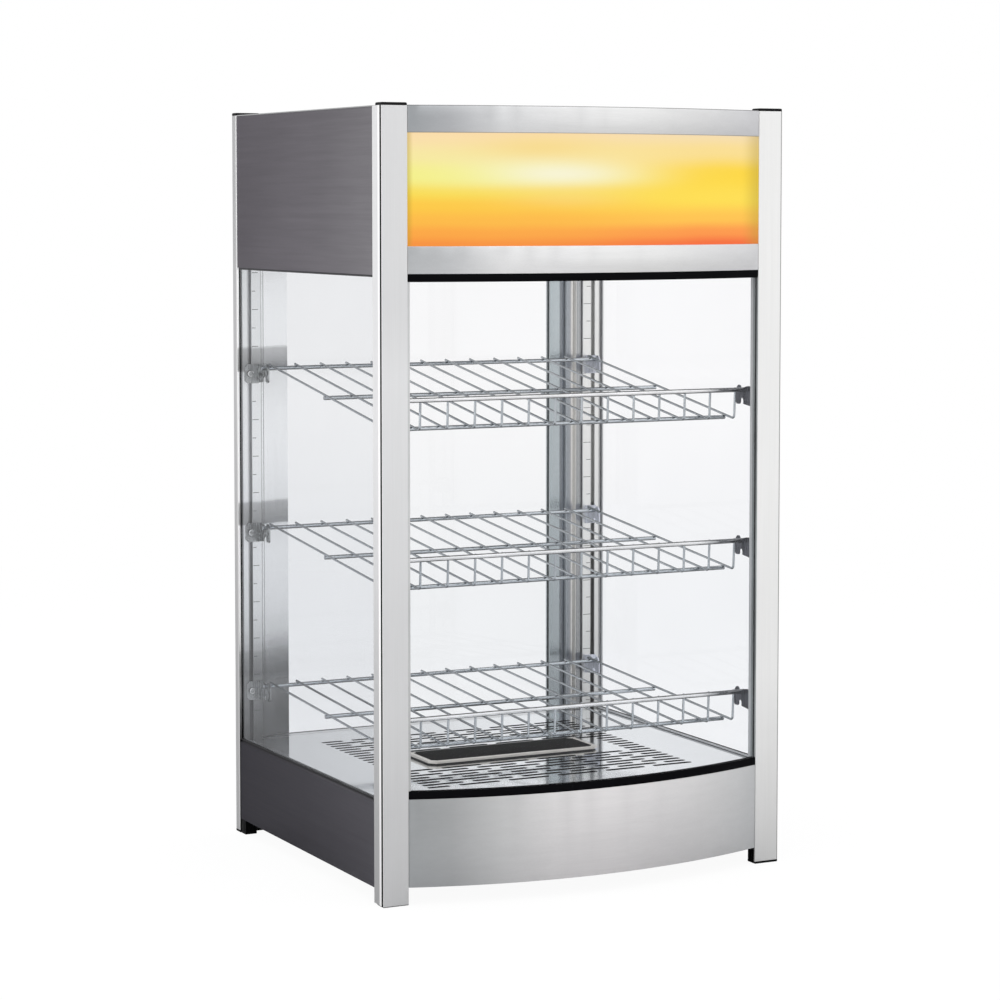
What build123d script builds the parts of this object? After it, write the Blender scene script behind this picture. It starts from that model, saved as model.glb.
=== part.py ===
from build123d import *
import math
import os

os.makedirs("parts", exist_ok=True)

# ---------------------------------------------------------------- driving dimensions (mm)
# +Z up, the front of the case faces -Y, +X is on the right seen from the front.
# Origin: centre of the footprint, on the surface that the case stands on.
case_half_width = 232.0        # outer faces of the corner posts
case_height = 806.0            # top of the post caps
front_plane = -189.5           # front faces of the front posts
rear_plane = 214.5             # rear faces of the rear posts
door_rear = 225.5              # outer face of the rear door
bow = 36.0                     # how far the curved front stands ahead of the posts

post_inner = 204.0             # inner edge of a post
post_depth_front = 15.0
post_depth_rear = 12.0
post_top = 803.0
foot_pad = 2.5

panel_half = 203.5             # half chord of the curved front pieces
sheet = 1.2                    # stainless sheet of the front and rear
side_sheet = 1.0

deck_z = 105.0                 # top of the slotted deck
ceiling_z = 635.0              # underside level of the canopy
panel_x = 231.4                # outer face of the side panels
glass_out = 229.4              # outer face of the side glass
glass_t = 3.0
front_glass_t = 4.0

tray_x, tray_half_x = -1.0, 102.8      # rim of the water tray
tray_y0, tray_y1 = -29.3, 35.3
tray_rim_z = 109.2

slot_long, slot_short, slot_gap, slot_w = 46.6, 25.1, 11.0, 6.4
slot_field = 156.25
slot_rows, slot_row0, slot_pitch = 23, -133.5, 12.66

# height of the rear and front rod of each shelf
shelf_levels = (("top", 523.5, 507.0), ("middle", 345.5, 344.5), ("bottom", 167.0, 180.5))
rear_rod_y, rear_rod_r = 180.0, 2.25
front_rod_y, front_rod_r = -151.0, 2.5
lip_rod_y, lip_rod_half = -124.0, 202.5
wire_r, wire_pitch, wire_count = 1.25, 31.0, 14
bend_y, bend_drop = -145.8, 31.2       # bottom of the front lip
clip_x0, clip_x1 = 207.5, 209.0        # rod plate of a shelf clip
slot_x = 217.4                         # centre of the posts' T-slot

hinge_x, hinge_y = 190.85, 220.35      # axis of the door hinge
door_front = 215.2
door_z0, door_z1 = 84.0, 660.0

knob_x, knob_z = -70.0, 48.0
power_x, light_x, switch_z = -10.0, 24.0, 48.0
rocker_tilt = 8.0
lamp_x = 56.0
gland_x, gland_z = 150.0, 46.0

# ---------------------------------------------------------------- curved front
bow_r = (panel_half ** 2 + bow ** 2) / (2 * bow)
bow_cy = front_plane - bow + bow_r


def bow_y(r, x):
    """Y of the arc of radius r about the centre of the curved front, at x."""
    return bow_cy - math.sqrt(r * r - x * x)


def bowed_piece(bands, half=panel_half):
    """Curved piece made of bands: (z low, z high, outer radius, thickness)."""
    with BuildPart() as piece:
        for z0, z1, r, t in bands:
            with BuildSketch(Plane.XY.offset(z0)):
                with BuildLine():
                    ThreePointArc((-half, bow_y(r, half)), (0, bow_cy - r), (half, bow_y(r, half)))
                    Line((half, bow_y(r, half)), (half, bow_y(r - t, half)))
                    ThreePointArc((half, bow_y(r - t, half)), (0, bow_cy - r + t), (-half, bow_y(r - t, half)))
                    Line((-half, bow_y(r - t, half)), (-half, bow_y(r, half)))
                make_face()
            extrude(amount=z1 - z0)
    return piece


def block(x0, x1, y0, y1, z0, z1, mode=Mode.ADD):
    """Box between two corners, in the builder that is open."""
    with Locations(((x0 + x1) / 2, (y0 + y1) / 2, (z0 + z1) / 2)):
        Box(x1 - x0, y1 - y0, z1 - z0, mode=mode)


def save(part, name):
    part.label = name
    export_step(part, "parts/" + name + ".step")


def save_mirrored(part, name):
    """The same piece for the left side."""
    with BuildPart() as other:
        mirror(part, about=Plane.YZ)
    save(other.part, name)


# the curved pieces, from the base to the roof
front_bottom_panel = bowed_piece([(17.8, 107.6, bow_r, sheet), (17.8, 19.0, bow_r, 12.0), (106.4, 107.6, bow_r, 6.5)])
save(front_bottom_panel.part, "front_bottom_panel")

front_glass = bowed_piece([(111.8, 631.9, bow_r - 1.25, front_glass_t)], half=201.2)
save(front_glass.part, "front_glass")

with BuildPart() as front_glass_seals:
    add(bowed_piece([(107.7, 111.7, bow_r, 6.6), (111.7, 115.7, bow_r, 1.2), (111.7, 115.7, bow_r - 5.4, 1.2)], half=203.2).part)
    add(bowed_piece([(631.9 + 0.1, 635.9, bow_r, 6.6), (628.0, 632.0, bow_r, 1.2), (628.0, 632.0, bow_r - 5.4, 1.2)], half=203.2).part)
save(front_glass_seals.part, "front_glass_seals")

lower_trim_strip = bowed_piece([(636.0, 663.5, bow_r, sheet), (636.0, 637.2, bow_r, 10.0), (662.3, 663.5, bow_r, 6.0)])
save(lower_trim_strip.part, "lower_trim_strip")

sign_panel = bowed_piece([(663.6, 776.3, bow_r - 0.6, 3.0)])
save(sign_panel.part, "sign_panel")

top_trim_strip = bowed_piece([(776.4, 803.6, bow_r, sheet), (776.4, 777.6, bow_r, 6.0), (802.4, 803.6, bow_r, 16.0)])
save(top_trim_strip.part, "top_trim_strip")

# upright gaskets between the curved glass and the front posts
with BuildPart() as gasket:
    block(201.4, 203.9, -189.2, -178.4, 116.0, 627.8)
    block(201.4, 203.9, -182.3, -178.4, 107.8, 116.0)
    block(203.9, 208.0, -186.8, -182.2, 107.8, 635.6)
with BuildPart() as front_glass_gaskets:
    add(gasket.part)
    mirror(gasket.part, about=Plane.YZ)
save(front_glass_gaskets.part, "front_glass_gaskets")

# ---------------------------------------------------------------- corner posts
front_post_rear = front_plane + post_depth_front
rear_post_front = rear_plane - post_depth_rear


def front_post(z_low):
    """Right front post: open aluminium channel with a corner groove, a T-slot and a glass groove."""
    with BuildPart() as post:
        with BuildSketch(Plane.XY.offset(z_low)):
            with Locations((218.0, front_plane + 1.0)):
                Rectangle(28.0, 2.0)
            with Locations((230.0, front_plane + 8.5)):
                Rectangle(4.0, 13.0)
            with Locations((218.0, front_post_rear - 3.4)):
                Rectangle(28.0, 6.8)
            with Locations((231.15, front_post_rear + 4.0)):
                Rectangle(0.9, 8.8)
            with Locations((231.0, front_plane + 2.85)):
                Rectangle(2.4, 4.1, mode=Mode.SUBTRACT)
            with Locations((slot_x, front_post_rear - 0.9)):
                Rectangle(5.0, 1.8, mode=Mode.SUBTRACT)
            with Locations((slot_x, front_post_rear - 3.6)):
                Rectangle(10.2, 3.6, mode=Mode.SUBTRACT)
            with Locations((228.3, front_post_rear - 2.5)):
                Rectangle(4.8, 5.0, mode=Mode.SUBTRACT)
        extrude(amount=post_top - z_low)
        block(203.0, 227.9, front_plane + 2.0, front_post_rear + 0.4, -1.0, 18.0, mode=Mode.SUBTRACT)
    return post


save(front_post(foot_pad).part, "post_front_right")
save_mirrored(front_post(0.8).part, "post_front_left")

with BuildPart() as rear_post:
    with BuildSketch(Plane.XY.offset(foot_pad)):
        with Locations((218.0, rear_plane - 6.0)):
            Rectangle(28.0, 12.0)
        with Locations((215.0, rear_plane - 3.4)):
            Rectangle(18.0, 3.2, mode=Mode.SUBTRACT)
        with Locations((slot_x, rear_post_front + 0.9)):
            Rectangle(5.0, 1.8, mode=Mode.SUBTRACT)
        with Locations((slot_x, rear_post_front + 3.6)):
            Rectangle(10.2, 3.6, mode=Mode.SUBTRACT)
        with Locations((228.3, rear_post_front + 2.5)):
            Rectangle(4.8, 5.0, mode=Mode.SUBTRACT)
    extrude(amount=post_top - foot_pad)
save(rear_post.part, "post_rear_right")
save_mirrored(rear_post.part, "post_rear_left")

# black strips pressed into the corner grooves of the front posts
with BuildPart() as corner_strips:
    block(229.95, 231.8, front_plane + 0.9, front_plane + 4.8, foot_pad + 0.2, post_top - 0.2)
    block(-231.8, -229.95, front_plane + 0.9, front_plane + 4.8, 1.0, post_top - 0.2)
save(corner_strips.part, "corner_strips")

with BuildPart() as caps_right:
    with BuildSketch(Plane.XY.offset(post_top)):
        with Locations((218.0, front_plane + 7.5)):
            Rectangle(28.0, 15.0)
        with Locations((218.0, rear_plane - 6.0)):
            Rectangle(28.0, 12.0)
    extrude(amount=case_height - post_top)
    chamfer(caps_right.faces().group_by(Axis.Z)[-1].edges(), length=0.7)
    block(206.5, 227.0, -187.2, -181.7, 794.0, post_top)
    block(206.6, 223.4, 209.7, 212.5, 794.0, post_top)
with BuildPart() as post_caps:
    add(caps_right.part)
    mirror(caps_right.part, about=Plane.YZ)
save(post_caps.part, "post_caps")


def front_foot(pad):
    """Right front foot: a pad under the post and a ribbed block inside it."""
    with BuildPart() as foot:
        block(204.0, 232.0, front_plane, front_post_rear, 0.0, pad)
        block(204.2, 227.7, front_plane + 2.2, front_post_rear - 0.1, 0.0, 17.7)
        for k in range(3):
            y = front_plane + 4.4 + 3.8 * k
            block(203.9, 205.0, y, y + 1.5, pad + 1.0, 18.0, mode=Mode.SUBTRACT)
        chamfer(foot.faces().group_by(Axis.Z)[0].edges(), length=0.5)
    return foot


with BuildPart() as rear_foot:
    block(204.0, 232.0, rear_post_front - 0.3, rear_plane, 0.0, foot_pad - 0.05)
    block(217.5, 231.2, 188.6, rear_post_front - 0.3, 0.0, 15.8)
    for k in range(3):
        y = 190.6 + 4.2 * k
        block(230.2, 231.6, y, y + 1.6, foot_pad, 17.0, mode=Mode.SUBTRACT)
        x = 219.4 + 4.2 * k
        block(x, x + 1.6, 188.0, 189.6, foot_pad, 17.0, mode=Mode.SUBTRACT)
    chamfer(rear_foot.faces().group_by(Axis.Z)[0].edges(), length=0.5)
with BuildPart() as feet:
    add(front_foot(foot_pad - 0.05).part)
    mirror(front_foot(0.75).part, about=Plane.YZ)
    add(rear_foot.part)
    mirror(rear_foot.part, about=Plane.YZ)
save(feet.part, "feet")

# ---------------------------------------------------------------- sides
side_y0, side_y1 = -165.7, 202.2

with BuildPart() as side_bottom:
    with BuildSketch(Plane.XZ.offset(-side_y1)):
        with BuildLine():
            Polyline((231.4, 16.0), (231.4, 103.0), (229.0, 105.4), (225.0, 105.4), (225.0, 104.4),
                     (228.6, 104.4), (230.4, 102.6), (230.4, 17.0), (215.0, 17.0), (215.0, 16.0), close=True)
        make_face()
    extrude(amount=side_y1 - side_y0)
save(side_bottom.part, "side_bottom_panel_right")
save_mirrored(side_bottom.part, "side_bottom_panel_left")

with BuildPart() as side_top:
    with BuildSketch(Plane.XZ.offset(-side_y1)):
        with BuildLine():
            Polyline((231.4, 635.0), (231.4, 802.0), (216.0, 802.0), (216.0, 801.0), (230.4, 801.0),
                     (230.4, 636.0), (225.0, 636.0), (225.0, 635.0), close=True)
        make_face()
    extrude(amount=side_y1 - side_y0)
save(side_top.part, "side_top_panel_right")
save_mirrored(side_top.part, "side_top_panel_left")

with BuildPart() as side_glass:
    block(glass_out - glass_t, glass_out, front_post_rear - 3.8, rear_post_front + 3.8, 106.4, 633.6)
save(side_glass.part, "side_glass_right")
save_mirrored(side_glass.part, "side_glass_left")

# U-shaped seals: two along the glass, two in the post grooves
with BuildPart() as seals_right:
    with BuildSketch(Plane.XZ.offset(-rear_post_front + 1.2)):
        with BuildLine():
            Polyline((225.3, 105.5), (230.3, 105.5), (230.3, 107.3), (229.45, 107.3), (229.45, 106.3),
                     (226.35, 106.3), (226.35, 107.3), (225.3, 107.3), close=True)
        make_face()
        with BuildLine():
            Polyline((225.3, 634.9), (230.3, 634.9), (230.3, 632.8), (229.45, 632.8), (229.45, 633.7),
                     (226.35, 633.7), (226.35, 632.8), (225.3, 632.8), close=True)
        make_face()
    extrude(amount=rear_post_front - front_post_rear - 2.4)
    with BuildSketch(Plane.XY.offset(105.5)):
        with BuildLine():
            Polyline((225.95, front_post_rear + 1.0), (225.95, front_post_rear - 4.9), (230.65, front_post_rear - 4.9),
                     (230.65, front_post_rear + 1.0), (229.45, front_post_rear + 1.0), (229.45, front_post_rear - 3.9),
                     (226.35, front_post_rear - 3.9), (226.35, front_post_rear + 1.0), close=True)
        make_face()
        with BuildLine():
            Polyline((225.95, rear_post_front - 1.0), (225.95, rear_post_front + 4.9), (230.65, rear_post_front + 4.9),
                     (230.65, rear_post_front - 1.0), (229.45, rear_post_front - 1.0), (229.45, rear_post_front + 3.9),
                     (226.35, rear_post_front + 3.9), (226.35, rear_post_front - 1.0), close=True)
        make_face()
    extrude(amount=634.9 - 105.5)
with BuildPart() as side_glass_seals:
    add(seals_right.part)
    mirror(seals_right.part, about=Plane.YZ)
save(side_glass_seals.part, "side_glass_seals")

# ---------------------------------------------------------------- roof, ceiling, deck, base
with BuildPart() as roof_panel:
    with BuildSketch(Plane.XY.offset(802.2)):
        r = bow_r - 16.3
        with BuildLine():
            ThreePointArc((-203.3, bow_y(r, 203.3)), (0, bow_cy - r), (203.3, bow_y(r, 203.3)))
            Polyline((203.3, bow_y(r, 203.3)), (230.2, bow_y(r, 203.3)), (230.2, side_y0 - 0.1),
                     (231.4, side_y0 - 0.1), (231.4, side_y1), (203.6, side_y1), (203.6, 214.3),
                     (-203.6, 214.3), (-203.6, side_y1), (-231.4, side_y1), (-231.4, side_y0 - 0.1),
                     (-230.2, side_y0 - 0.1), (-230.2, bow_y(r, 203.3)), (-203.3, bow_y(r, 203.3)))
        make_face()
        with Locations((-90.0, 150.0), (90.0, 150.0)):
            with GridLocations(0.0, 11.0, 1, 6):
                SlotOverall(70.0, 4.0, mode=Mode.SUBTRACT)
    extrude(amount=sheet)
save(roof_panel.part, "roof_panel")

with BuildPart() as chamber_ceiling:
    with BuildSketch(Plane.XY.offset(634.6)):
        r = bow_r - 7.6
        with BuildLine():
            ThreePointArc((-201.0, bow_y(r, 201.0)), (0, bow_cy - r), (201.0, bow_y(r, 201.0)))
            Polyline((201.0, bow_y(r, 201.0)), (201.0, -174.2), (224.6, -174.2), (224.6, 200.8),
                     (-224.6, 200.8), (-224.6, -174.2), (-201.0, -174.2), (-201.0, bow_y(r, 201.0)))
        make_face()
        with Locations((0.0, -110.0)):
            Rectangle(260.0, 50.0, mode=Mode.SUBTRACT)
        with Locations((-120.0, 150.0), (0.0, 150.0), (120.0, 150.0)):
            SlotOverall(60.0, 5.0, mode=Mode.SUBTRACT)
    extrude(amount=sheet)
save(chamber_ceiling.part, "chamber_ceiling")

with BuildPart() as ceiling_lens:
    with BuildSketch(Plane.XY.offset(635.85)):
        with Locations((0.0, -110.0)):
            RectangleRounded(280.0, 68.0, 4.0)
    extrude(amount=2.0)
save(ceiling_lens.part, "ceiling_lens")

with BuildPart() as deck_grille:
    with BuildSketch(Plane.XY.offset(deck_z - 10.0)) as deck_outline:
        r = bow_r - 7.6
        with BuildLine():
            ThreePointArc((-201.0, bow_y(r, 201.0)), (0, bow_cy - r), (201.0, bow_y(r, 201.0)))
            Polyline((201.0, bow_y(r, 201.0)), (201.0, -174.2), (224.6, -174.2), (224.6, 200.8),
                     (-224.6, 200.8), (-224.6, -174.2), (-201.0, -174.2), (-201.0, bow_y(r, 201.0)))
        make_face()
    extrude(amount=10.0)
    with BuildSketch(Plane.XY.offset(deck_z - 10.0)):
        offset(deck_outline.sketch.face(), amount=-sheet)
    extrude(amount=10.0 - sheet, mode=Mode.SUBTRACT)
    block(tray_x - tray_half_x + 2.7, tray_x + tray_half_x - 2.7, tray_y0 + 2.7, tray_y1 - 2.7,
          deck_z - 12.0, deck_z + 1.0, mode=Mode.SUBTRACT)
    with BuildSketch(Plane.XY.offset(deck_z)):
        for row in range(slot_rows):
            y = slot_row0 + slot_pitch * row
            beside_tray = tray_y0 - 6.0 < y < tray_y1 + 6.0
            spans = []
            if row % 2 == 0:
                spans.append((-slot_field, -slot_field + slot_short))
                x = -slot_field + slot_short + slot_gap
                while x < slot_field - 5.0:
                    spans.append((x, x + slot_long))
                    x += slot_long + slot_gap
            else:
                x = -slot_field
                while x < slot_field - slot_long + 1.0:
                    spans.append((x, x + slot_long))
                    x += slot_long + slot_gap
                spans.append((slot_field - slot_short, slot_field))
            if beside_tray:
                spans = [(-slot_field, -slot_field + slot_short), (slot_field - slot_short, slot_field)]
            for a, b in spans:
                with Locations(((a + b) / 2, y)):
                    SlotOverall(b - a, slot_w)
    extrude(amount=-3.0, mode=Mode.SUBTRACT)
save(deck_grille.part, "deck_grille")

with BuildPart() as base_pan:
    with BuildSketch(Plane.XY.offset(16.0)) as pan_outline:
        r = bow_r - 12.5
        with BuildLine():
            ThreePointArc((-203.0, bow_y(r, 203.0)), (0, bow_cy - r), (203.0, bow_y(r, 203.0)))
            Polyline((203.0, bow_y(r, 203.0)), (203.0, -165.5), (214.6, -165.5), (214.6, 188.4),
                     (-214.6, 188.4), (-214.6, -165.5), (-203.0, -165.5), (-203.0, bow_y(r, 203.0)))
        make_face()
    extrude(amount=12.0)
    with BuildSketch(Plane.XY.offset(16.0 + sheet)):
        offset(pan_outline.sketch.face(), amount=-sheet)
    extrude(amount=16.0, mode=Mode.SUBTRACT)
    with BuildSketch(Plane.XY.offset(16.0)):
        with GridLocations(70.0, 14.0, 4, 3):
            SlotOverall(44.0, 4.5)
    extrude(amount=3.0, mode=Mode.SUBTRACT)
save(base_pan.part, "base_pan")

# ---------------------------------------------------------------- rear
with BuildPart() as rear_top_panel:
    with BuildSketch(Plane.YZ.offset(-203.6)):
        with BuildLine():
            Polyline((214.5, 635.0), (214.5, 802.0), (201.2, 802.0), (201.2, 800.8), (213.3, 800.8),
                     (213.3, 636.2), (201.2, 636.2), (201.2, 635.0), close=True)
        make_face()
    extrude(amount=407.2)
    with BuildSketch(Plane.XZ.offset(-215.0)):
        with Locations((-90.0, 735.0), (90.0, 735.0)):
            with GridLocations(0.0, 10.0, 1, 5):
                SlotOverall(60.0, 4.0)
    extrude(amount=2.5, mode=Mode.SUBTRACT)
save(rear_top_panel.part, "rear_top_panel")

with BuildPart() as rear_sill:
    with BuildSketch(Plane.YZ.offset(-203.6)):
        with BuildLine():
            Polyline((201.2, 105.0), (214.5, 105.0), (214.5, 79.0), (200.7, 79.0), (200.7, 80.2), (213.3, 80.2),
                     (213.3, 103.8), (201.2, 103.8), close=True)
        make_face()
    extrude(amount=407.2)
save(rear_sill.part, "rear_sill")

with BuildPart() as jamb:
    with BuildSketch(Plane.XY.offset(deck_z + 0.2)):
        with BuildLine():
            Polyline((185.7, 209.5), (196.0, 209.5), (196.0, 205.5), (203.8, 205.5), (203.8, 214.4),
                     (185.7, 214.4), close=True)
        make_face()
    extrude(amount=634.8 - deck_z - 0.2)
with BuildPart() as rear_jambs:
    add(jamb.part)
    mirror(jamb.part, about=Plane.YZ)
save(rear_jambs.part, "rear_jambs")

panel_face = 200.4             # outer face of the recessed control panel
with BuildPart() as rear_control_panel:
    with BuildSketch(Plane.YZ.offset(-203.6)):
        with BuildLine():
            Polyline((189.0, 16.0), (panel_face, 16.0), (panel_face, 94.8), (panel_face - sheet, 94.8),
                     (panel_face - sheet, 17.2), (189.0, 17.2), close=True)
        make_face()
    extrude(amount=407.2)
    with BuildSketch(Plane.XZ.offset(-panel_face - 1.0)):
        with Locations((knob_x, knob_z)):
            Circle(5.4)
        with Locations((power_x, switch_z), (light_x, switch_z)):
            Rectangle(20.2, 27.4)
        with Locations((lamp_x, switch_z)):
            Circle(5.2)
        with Locations((gland_x, gland_z)):
            Circle(8.3)
        with Locations((-150.0, 48.0)):
            with GridLocations(0.0, 9.0, 1, 5):
                SlotOverall(56.0, 4.0)
    extrude(amount=4.0, mode=Mode.SUBTRACT)
save(rear_control_panel.part, "rear_control_panel")

# ---------------------------------------------------------------- controls
with BuildPart() as thermostat_body:
    block(knob_x - 21.0, knob_x + 21.0, 164.0, 196.0, knob_z - 18.0, knob_z + 18.0)
    with BuildSketch(Plane.XZ.offset(-196.0)):
        with Locations((knob_x, knob_z)):
            Circle(5.2)
    extrude(amount=-5.5)
    with BuildSketch(Plane.XZ.offset(-201.5)):
        with Locations((knob_x, knob_z)):
            Circle(3.05)
    extrude(amount=16.0, mode=Mode.SUBTRACT)
    chamfer(thermostat_body.faces().sort_by(Axis.Y)[0].edges(), length=1.5)
save(thermostat_body.part, "thermostat_body")

with BuildPart() as thermostat_knob:
    with BuildSketch(Plane.XZ.offset(-202.0)):
        with Locations((knob_x, knob_z)):
            Circle(20.0)
    extrude(amount=-5.0)
    with BuildSketch(Plane.XZ.offset(-207.0)):
        with Locations((knob_x, knob_z)):
            Circle(16.0)
    extrude(amount=-15.0)
    knob_top = thermostat_knob.faces().sort_by(Axis.Y)[-1]
    fillet(knob_top.edges(), radius=1.6)
    with BuildSketch(Plane.XZ.offset(-207.5)):
        with Locations((knob_x, knob_z)):
            with PolarLocations(17.6, 12):
                Circle(3.0)
    extrude(amount=-16.0, mode=Mode.SUBTRACT)
    with BuildSketch(Plane.XZ.offset(-202.0)):
        with Locations((knob_x, knob_z)):
            Circle(3.0)
    extrude(amount=14.0)
save(thermostat_knob.part, "thermostat_knob")

with BuildPart() as switch_bezels:
    for cx in (power_x, light_x):
        block(cx - 11.0, cx + 11.0, panel_face, panel_face + 2.2, switch_z - 15.0, switch_z + 15.0)
        block(cx - 9.8, cx + 9.8, 178.0, panel_face + 0.5, switch_z - 13.4, switch_z + 13.4)
        block(cx - 9.0, cx + 9.0, 189.0, panel_face + 3.0, switch_z - 12.7, switch_z + 12.7, mode=Mode.SUBTRACT)
        for dz in (-7.0, 7.0):
            block(cx - 3.0, cx + 3.0, 169.0, 178.0, switch_z + dz - 0.4, switch_z + dz + 0.4)
save(switch_bezels.part, "switch_bezels")


def rocker(cx):
    """Rocker cap, tilted to its on side, turning about a line along X."""
    tilt = math.radians(rocker_tilt)
    with BuildPart() as cap:
        with BuildSketch(Plane(origin=(cx - 8.7, 199.5, switch_z), x_dir=(0, math.cos(tilt), math.sin(tilt)), z_dir=(1, 0, 0))):
            with BuildLine():
                Polyline((4.6, -11.2), (1.0, -11.6), (-3.5, -7.0), (-3.5, 7.0), (1.0, 11.6), (4.6, 11.2))
                ThreePointArc((4.6, 11.2), (3.1, 0.0), (4.6, -11.2))
            make_face()
        extrude(amount=17.4)
    return cap


save(rocker(power_x).part, "power_rocker")
save(rocker(light_x).part, "light_rocker")

with BuildPart() as indicator_lamp:
    with BuildSketch(Plane.XZ.offset(-panel_face)):
        with Locations((lamp_x, switch_z)):
            Circle(7.5)
    extrude(amount=-2.0)
    with BuildSketch(Plane.XZ.offset(-panel_face - 2.0)):
        with Locations((lamp_x, switch_z)):
            Circle(5.5)
    extrude(amount=-3.0)
    fillet(indicator_lamp.faces().sort_by(Axis.Y)[-1].edges(), radius=2.0)
    with BuildSketch(Plane.XZ.offset(-panel_face)):
        with Locations((lamp_x, switch_z)):
            Circle(5.0)
    extrude(amount=24.0)
save(indicator_lamp.part, "indicator_lamp")

with BuildPart() as cord_gland:
    with BuildSketch(Plane.XZ.offset(-panel_face)):
        with Locations((gland_x, gland_z)):
            RegularPolygon(12.0, 6)
    extrude(amount=-5.0)
    with BuildSketch(Plane.XZ.offset(-panel_face - 5.0)):
        with Locations((gland_x, gland_z)):
            Circle(9.5)
    extrude(amount=-9.0)
    fillet(cord_gland.faces().sort_by(Axis.Y)[-1].edges(), radius=2.5)
    with BuildSketch(Plane.XZ.offset(-panel_face)):
        with Locations((gland_x, gland_z)):
            Circle(8.0)
    extrude(amount=10.0)
    with BuildSketch(Plane.XZ.offset(-panel_face - 20.0)):
        with Locations((gland_x, gland_z)):
            Circle(4.2)
    extrude(amount=40.0, mode=Mode.SUBTRACT)
save(cord_gland.part, "cord_gland")

with BuildPart() as terminal_block:
    block(120.0, 170.0, 130.0, 150.0, 17.25, 33.0)
    for k in range(5):
        x = 126.0 + 9.5 * k
        block(x - 2.6, x + 2.6, 133.0, 147.0, 29.0, 34.0, mode=Mode.SUBTRACT)
save(terminal_block.part, "terminal_block")

# ---------------------------------------------------------------- heat and light
element_z, element_y = 60.0, 45.0
with BuildPart() as heating_element:
    with BuildLine() as element_path:
        Line((160.0, -element_y, element_z), (-115.0, -element_y, element_z))
        ThreePointArc((-115.0, -element_y, element_z), (-115.0 - element_y, 0.0, element_z), (-115.0, element_y, element_z))
        Line((-115.0, element_y, element_z), (160.0, element_y, element_z))
    with BuildSketch(Plane(origin=(160.0, -element_y, element_z), z_dir=(-1, 0, 0))):
        Circle(4.0)
    sweep(path=element_path.line)
    for y in (-element_y, element_y):
        with BuildSketch(Plane.YZ.offset(160.0)):
            with Locations((y, element_z)):
                Circle(1.6)
        extrude(amount=12.0)
save(heating_element.part, "heating_element")

with BuildPart() as element_brackets:
    for x in (-100.0, 30.0, 150.0):
        with BuildSketch(Plane.YZ.offset(x)):
            with BuildLine():
                Polyline((-58.0, 17.25), (58.0, 17.25), (58.0, 68.0), (34.0, 68.0), (34.0, 30.0), (-34.0, 30.0),
                         (-34.0, 68.0), (-58.0, 68.0), close=True)
            make_face()
            with Locations((-element_y, element_z), (element_y, element_z)):
                Circle(4.2, mode=Mode.SUBTRACT)
        extrude(amount=1.5)
        block(x, x + 12.0, -58.0, 58.0, 17.25, 18.45)
save(element_brackets.part, "element_brackets")

lamp_y, lamp_z, lamp_half = -174.0, 716.0, 148.0
with BuildPart() as lamp_tube:
    with BuildSketch(Plane.YZ.offset(-lamp_half)):
        with Locations((lamp_y, lamp_z)):
            Circle(8.0)
    extrude(amount=2 * lamp_half)
save(lamp_tube.part, "lamp_tube")

with BuildPart() as holder:
    block(lamp_half + 0.3, lamp_half + 12.0, lamp_y - 12.0, lamp_y + 12.0, 636.0, lamp_z + 12.0)
    block(lamp_half + 0.3, lamp_half + 24.0, lamp_y - 12.0, lamp_y + 12.0, 636.0, 639.0)
with BuildPart() as lamp_holders:
    add(holder.part)
    mirror(holder.part, about=Plane.YZ)
save(lamp_holders.part, "lamp_holders")

with BuildPart() as lamp_ballast:
    block(-70.0, 70.0, 60.0, 100.0, 636.0, 664.0)
    chamfer(lamp_ballast.edges().filter_by(Axis.X), length=2.0)
    block(-84.0, 84.0, 66.0, 94.0, 635.9, 637.4)
save(lamp_ballast.part, "lamp_ballast")

# ---------------------------------------------------------------- water tray
rim_y = (tray_y0 + tray_y1) / 2
rim_w = 2 * tray_half_x
rim_d = tray_y1 - tray_y0


def tray_layer(z0, z1, inset, corner, mode=Mode.ADD):
    """Slab of the tray's outline, drawn in by the inset, with cut corners."""
    with BuildSketch(Plane.XY.offset(z0)) as outline:
        with Locations((tray_x, rim_y)):
            Rectangle(rim_w - 2 * inset, rim_d - 2 * inset)
        chamfer(outline.vertices(), length=corner)
    extrude(outline.sketch, amount=z1 - z0, mode=mode)


with BuildPart() as water_tray:
    tray_layer(80.0, tray_rim_z, 3.3, 6.0)
    tray_layer(deck_z + 0.3, tray_rim_z, 1.5, 6.6)
    tray_layer(deck_z + 1.6, tray_rim_z, 0.0, 7.0)
    fillet(water_tray.faces().sort_by(Axis.Z)[-1].edges(), radius=0.9)
    tray_layer(81.2, tray_rim_z + 2.0, 5.0, 5.0, mode=Mode.SUBTRACT)
save(water_tray.part, "water_tray")

# ---------------------------------------------------------------- rear door
with BuildPart() as hinge_stile:
    with BuildSketch(Plane.XY.offset(door_z0)):
        with BuildLine():
            Polyline((hinge_x, door_front), (167.0, door_front), (167.0, door_rear), (hinge_x, door_rear))
            ThreePointArc((hinge_x, door_rear), (hinge_x + (door_rear - door_front) / 2, (door_rear + door_front) / 2), (hinge_x, door_front))
        make_face()
        with Locations((169.0, 220.3)):
            Rectangle(7.0, 4.4, mode=Mode.SUBTRACT)
        with Locations((188.5, 215.6)):
            Rectangle(4.4, 1.6, mode=Mode.SUBTRACT)
    extrude(amount=door_z1 - door_z0)
    for z0, z1 in ((88.0, 92.4), (647.6, 652.0)):
        block(166.0, 190.7, 215.0, 216.4, z0, z1, mode=Mode.SUBTRACT)
    with BuildSketch(Plane.XY.offset(door_z0 - 1.0)):
        with Locations((hinge_x, hinge_y)):
            Circle(2.55)
    extrude(amount=19.0, mode=Mode.SUBTRACT)
    with BuildSketch(Plane.XY.offset(door_z1 - 18.0)):
        with Locations((hinge_x, hinge_y)):
            Circle(2.55)
    extrude(amount=19.0, mode=Mode.SUBTRACT)

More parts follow.
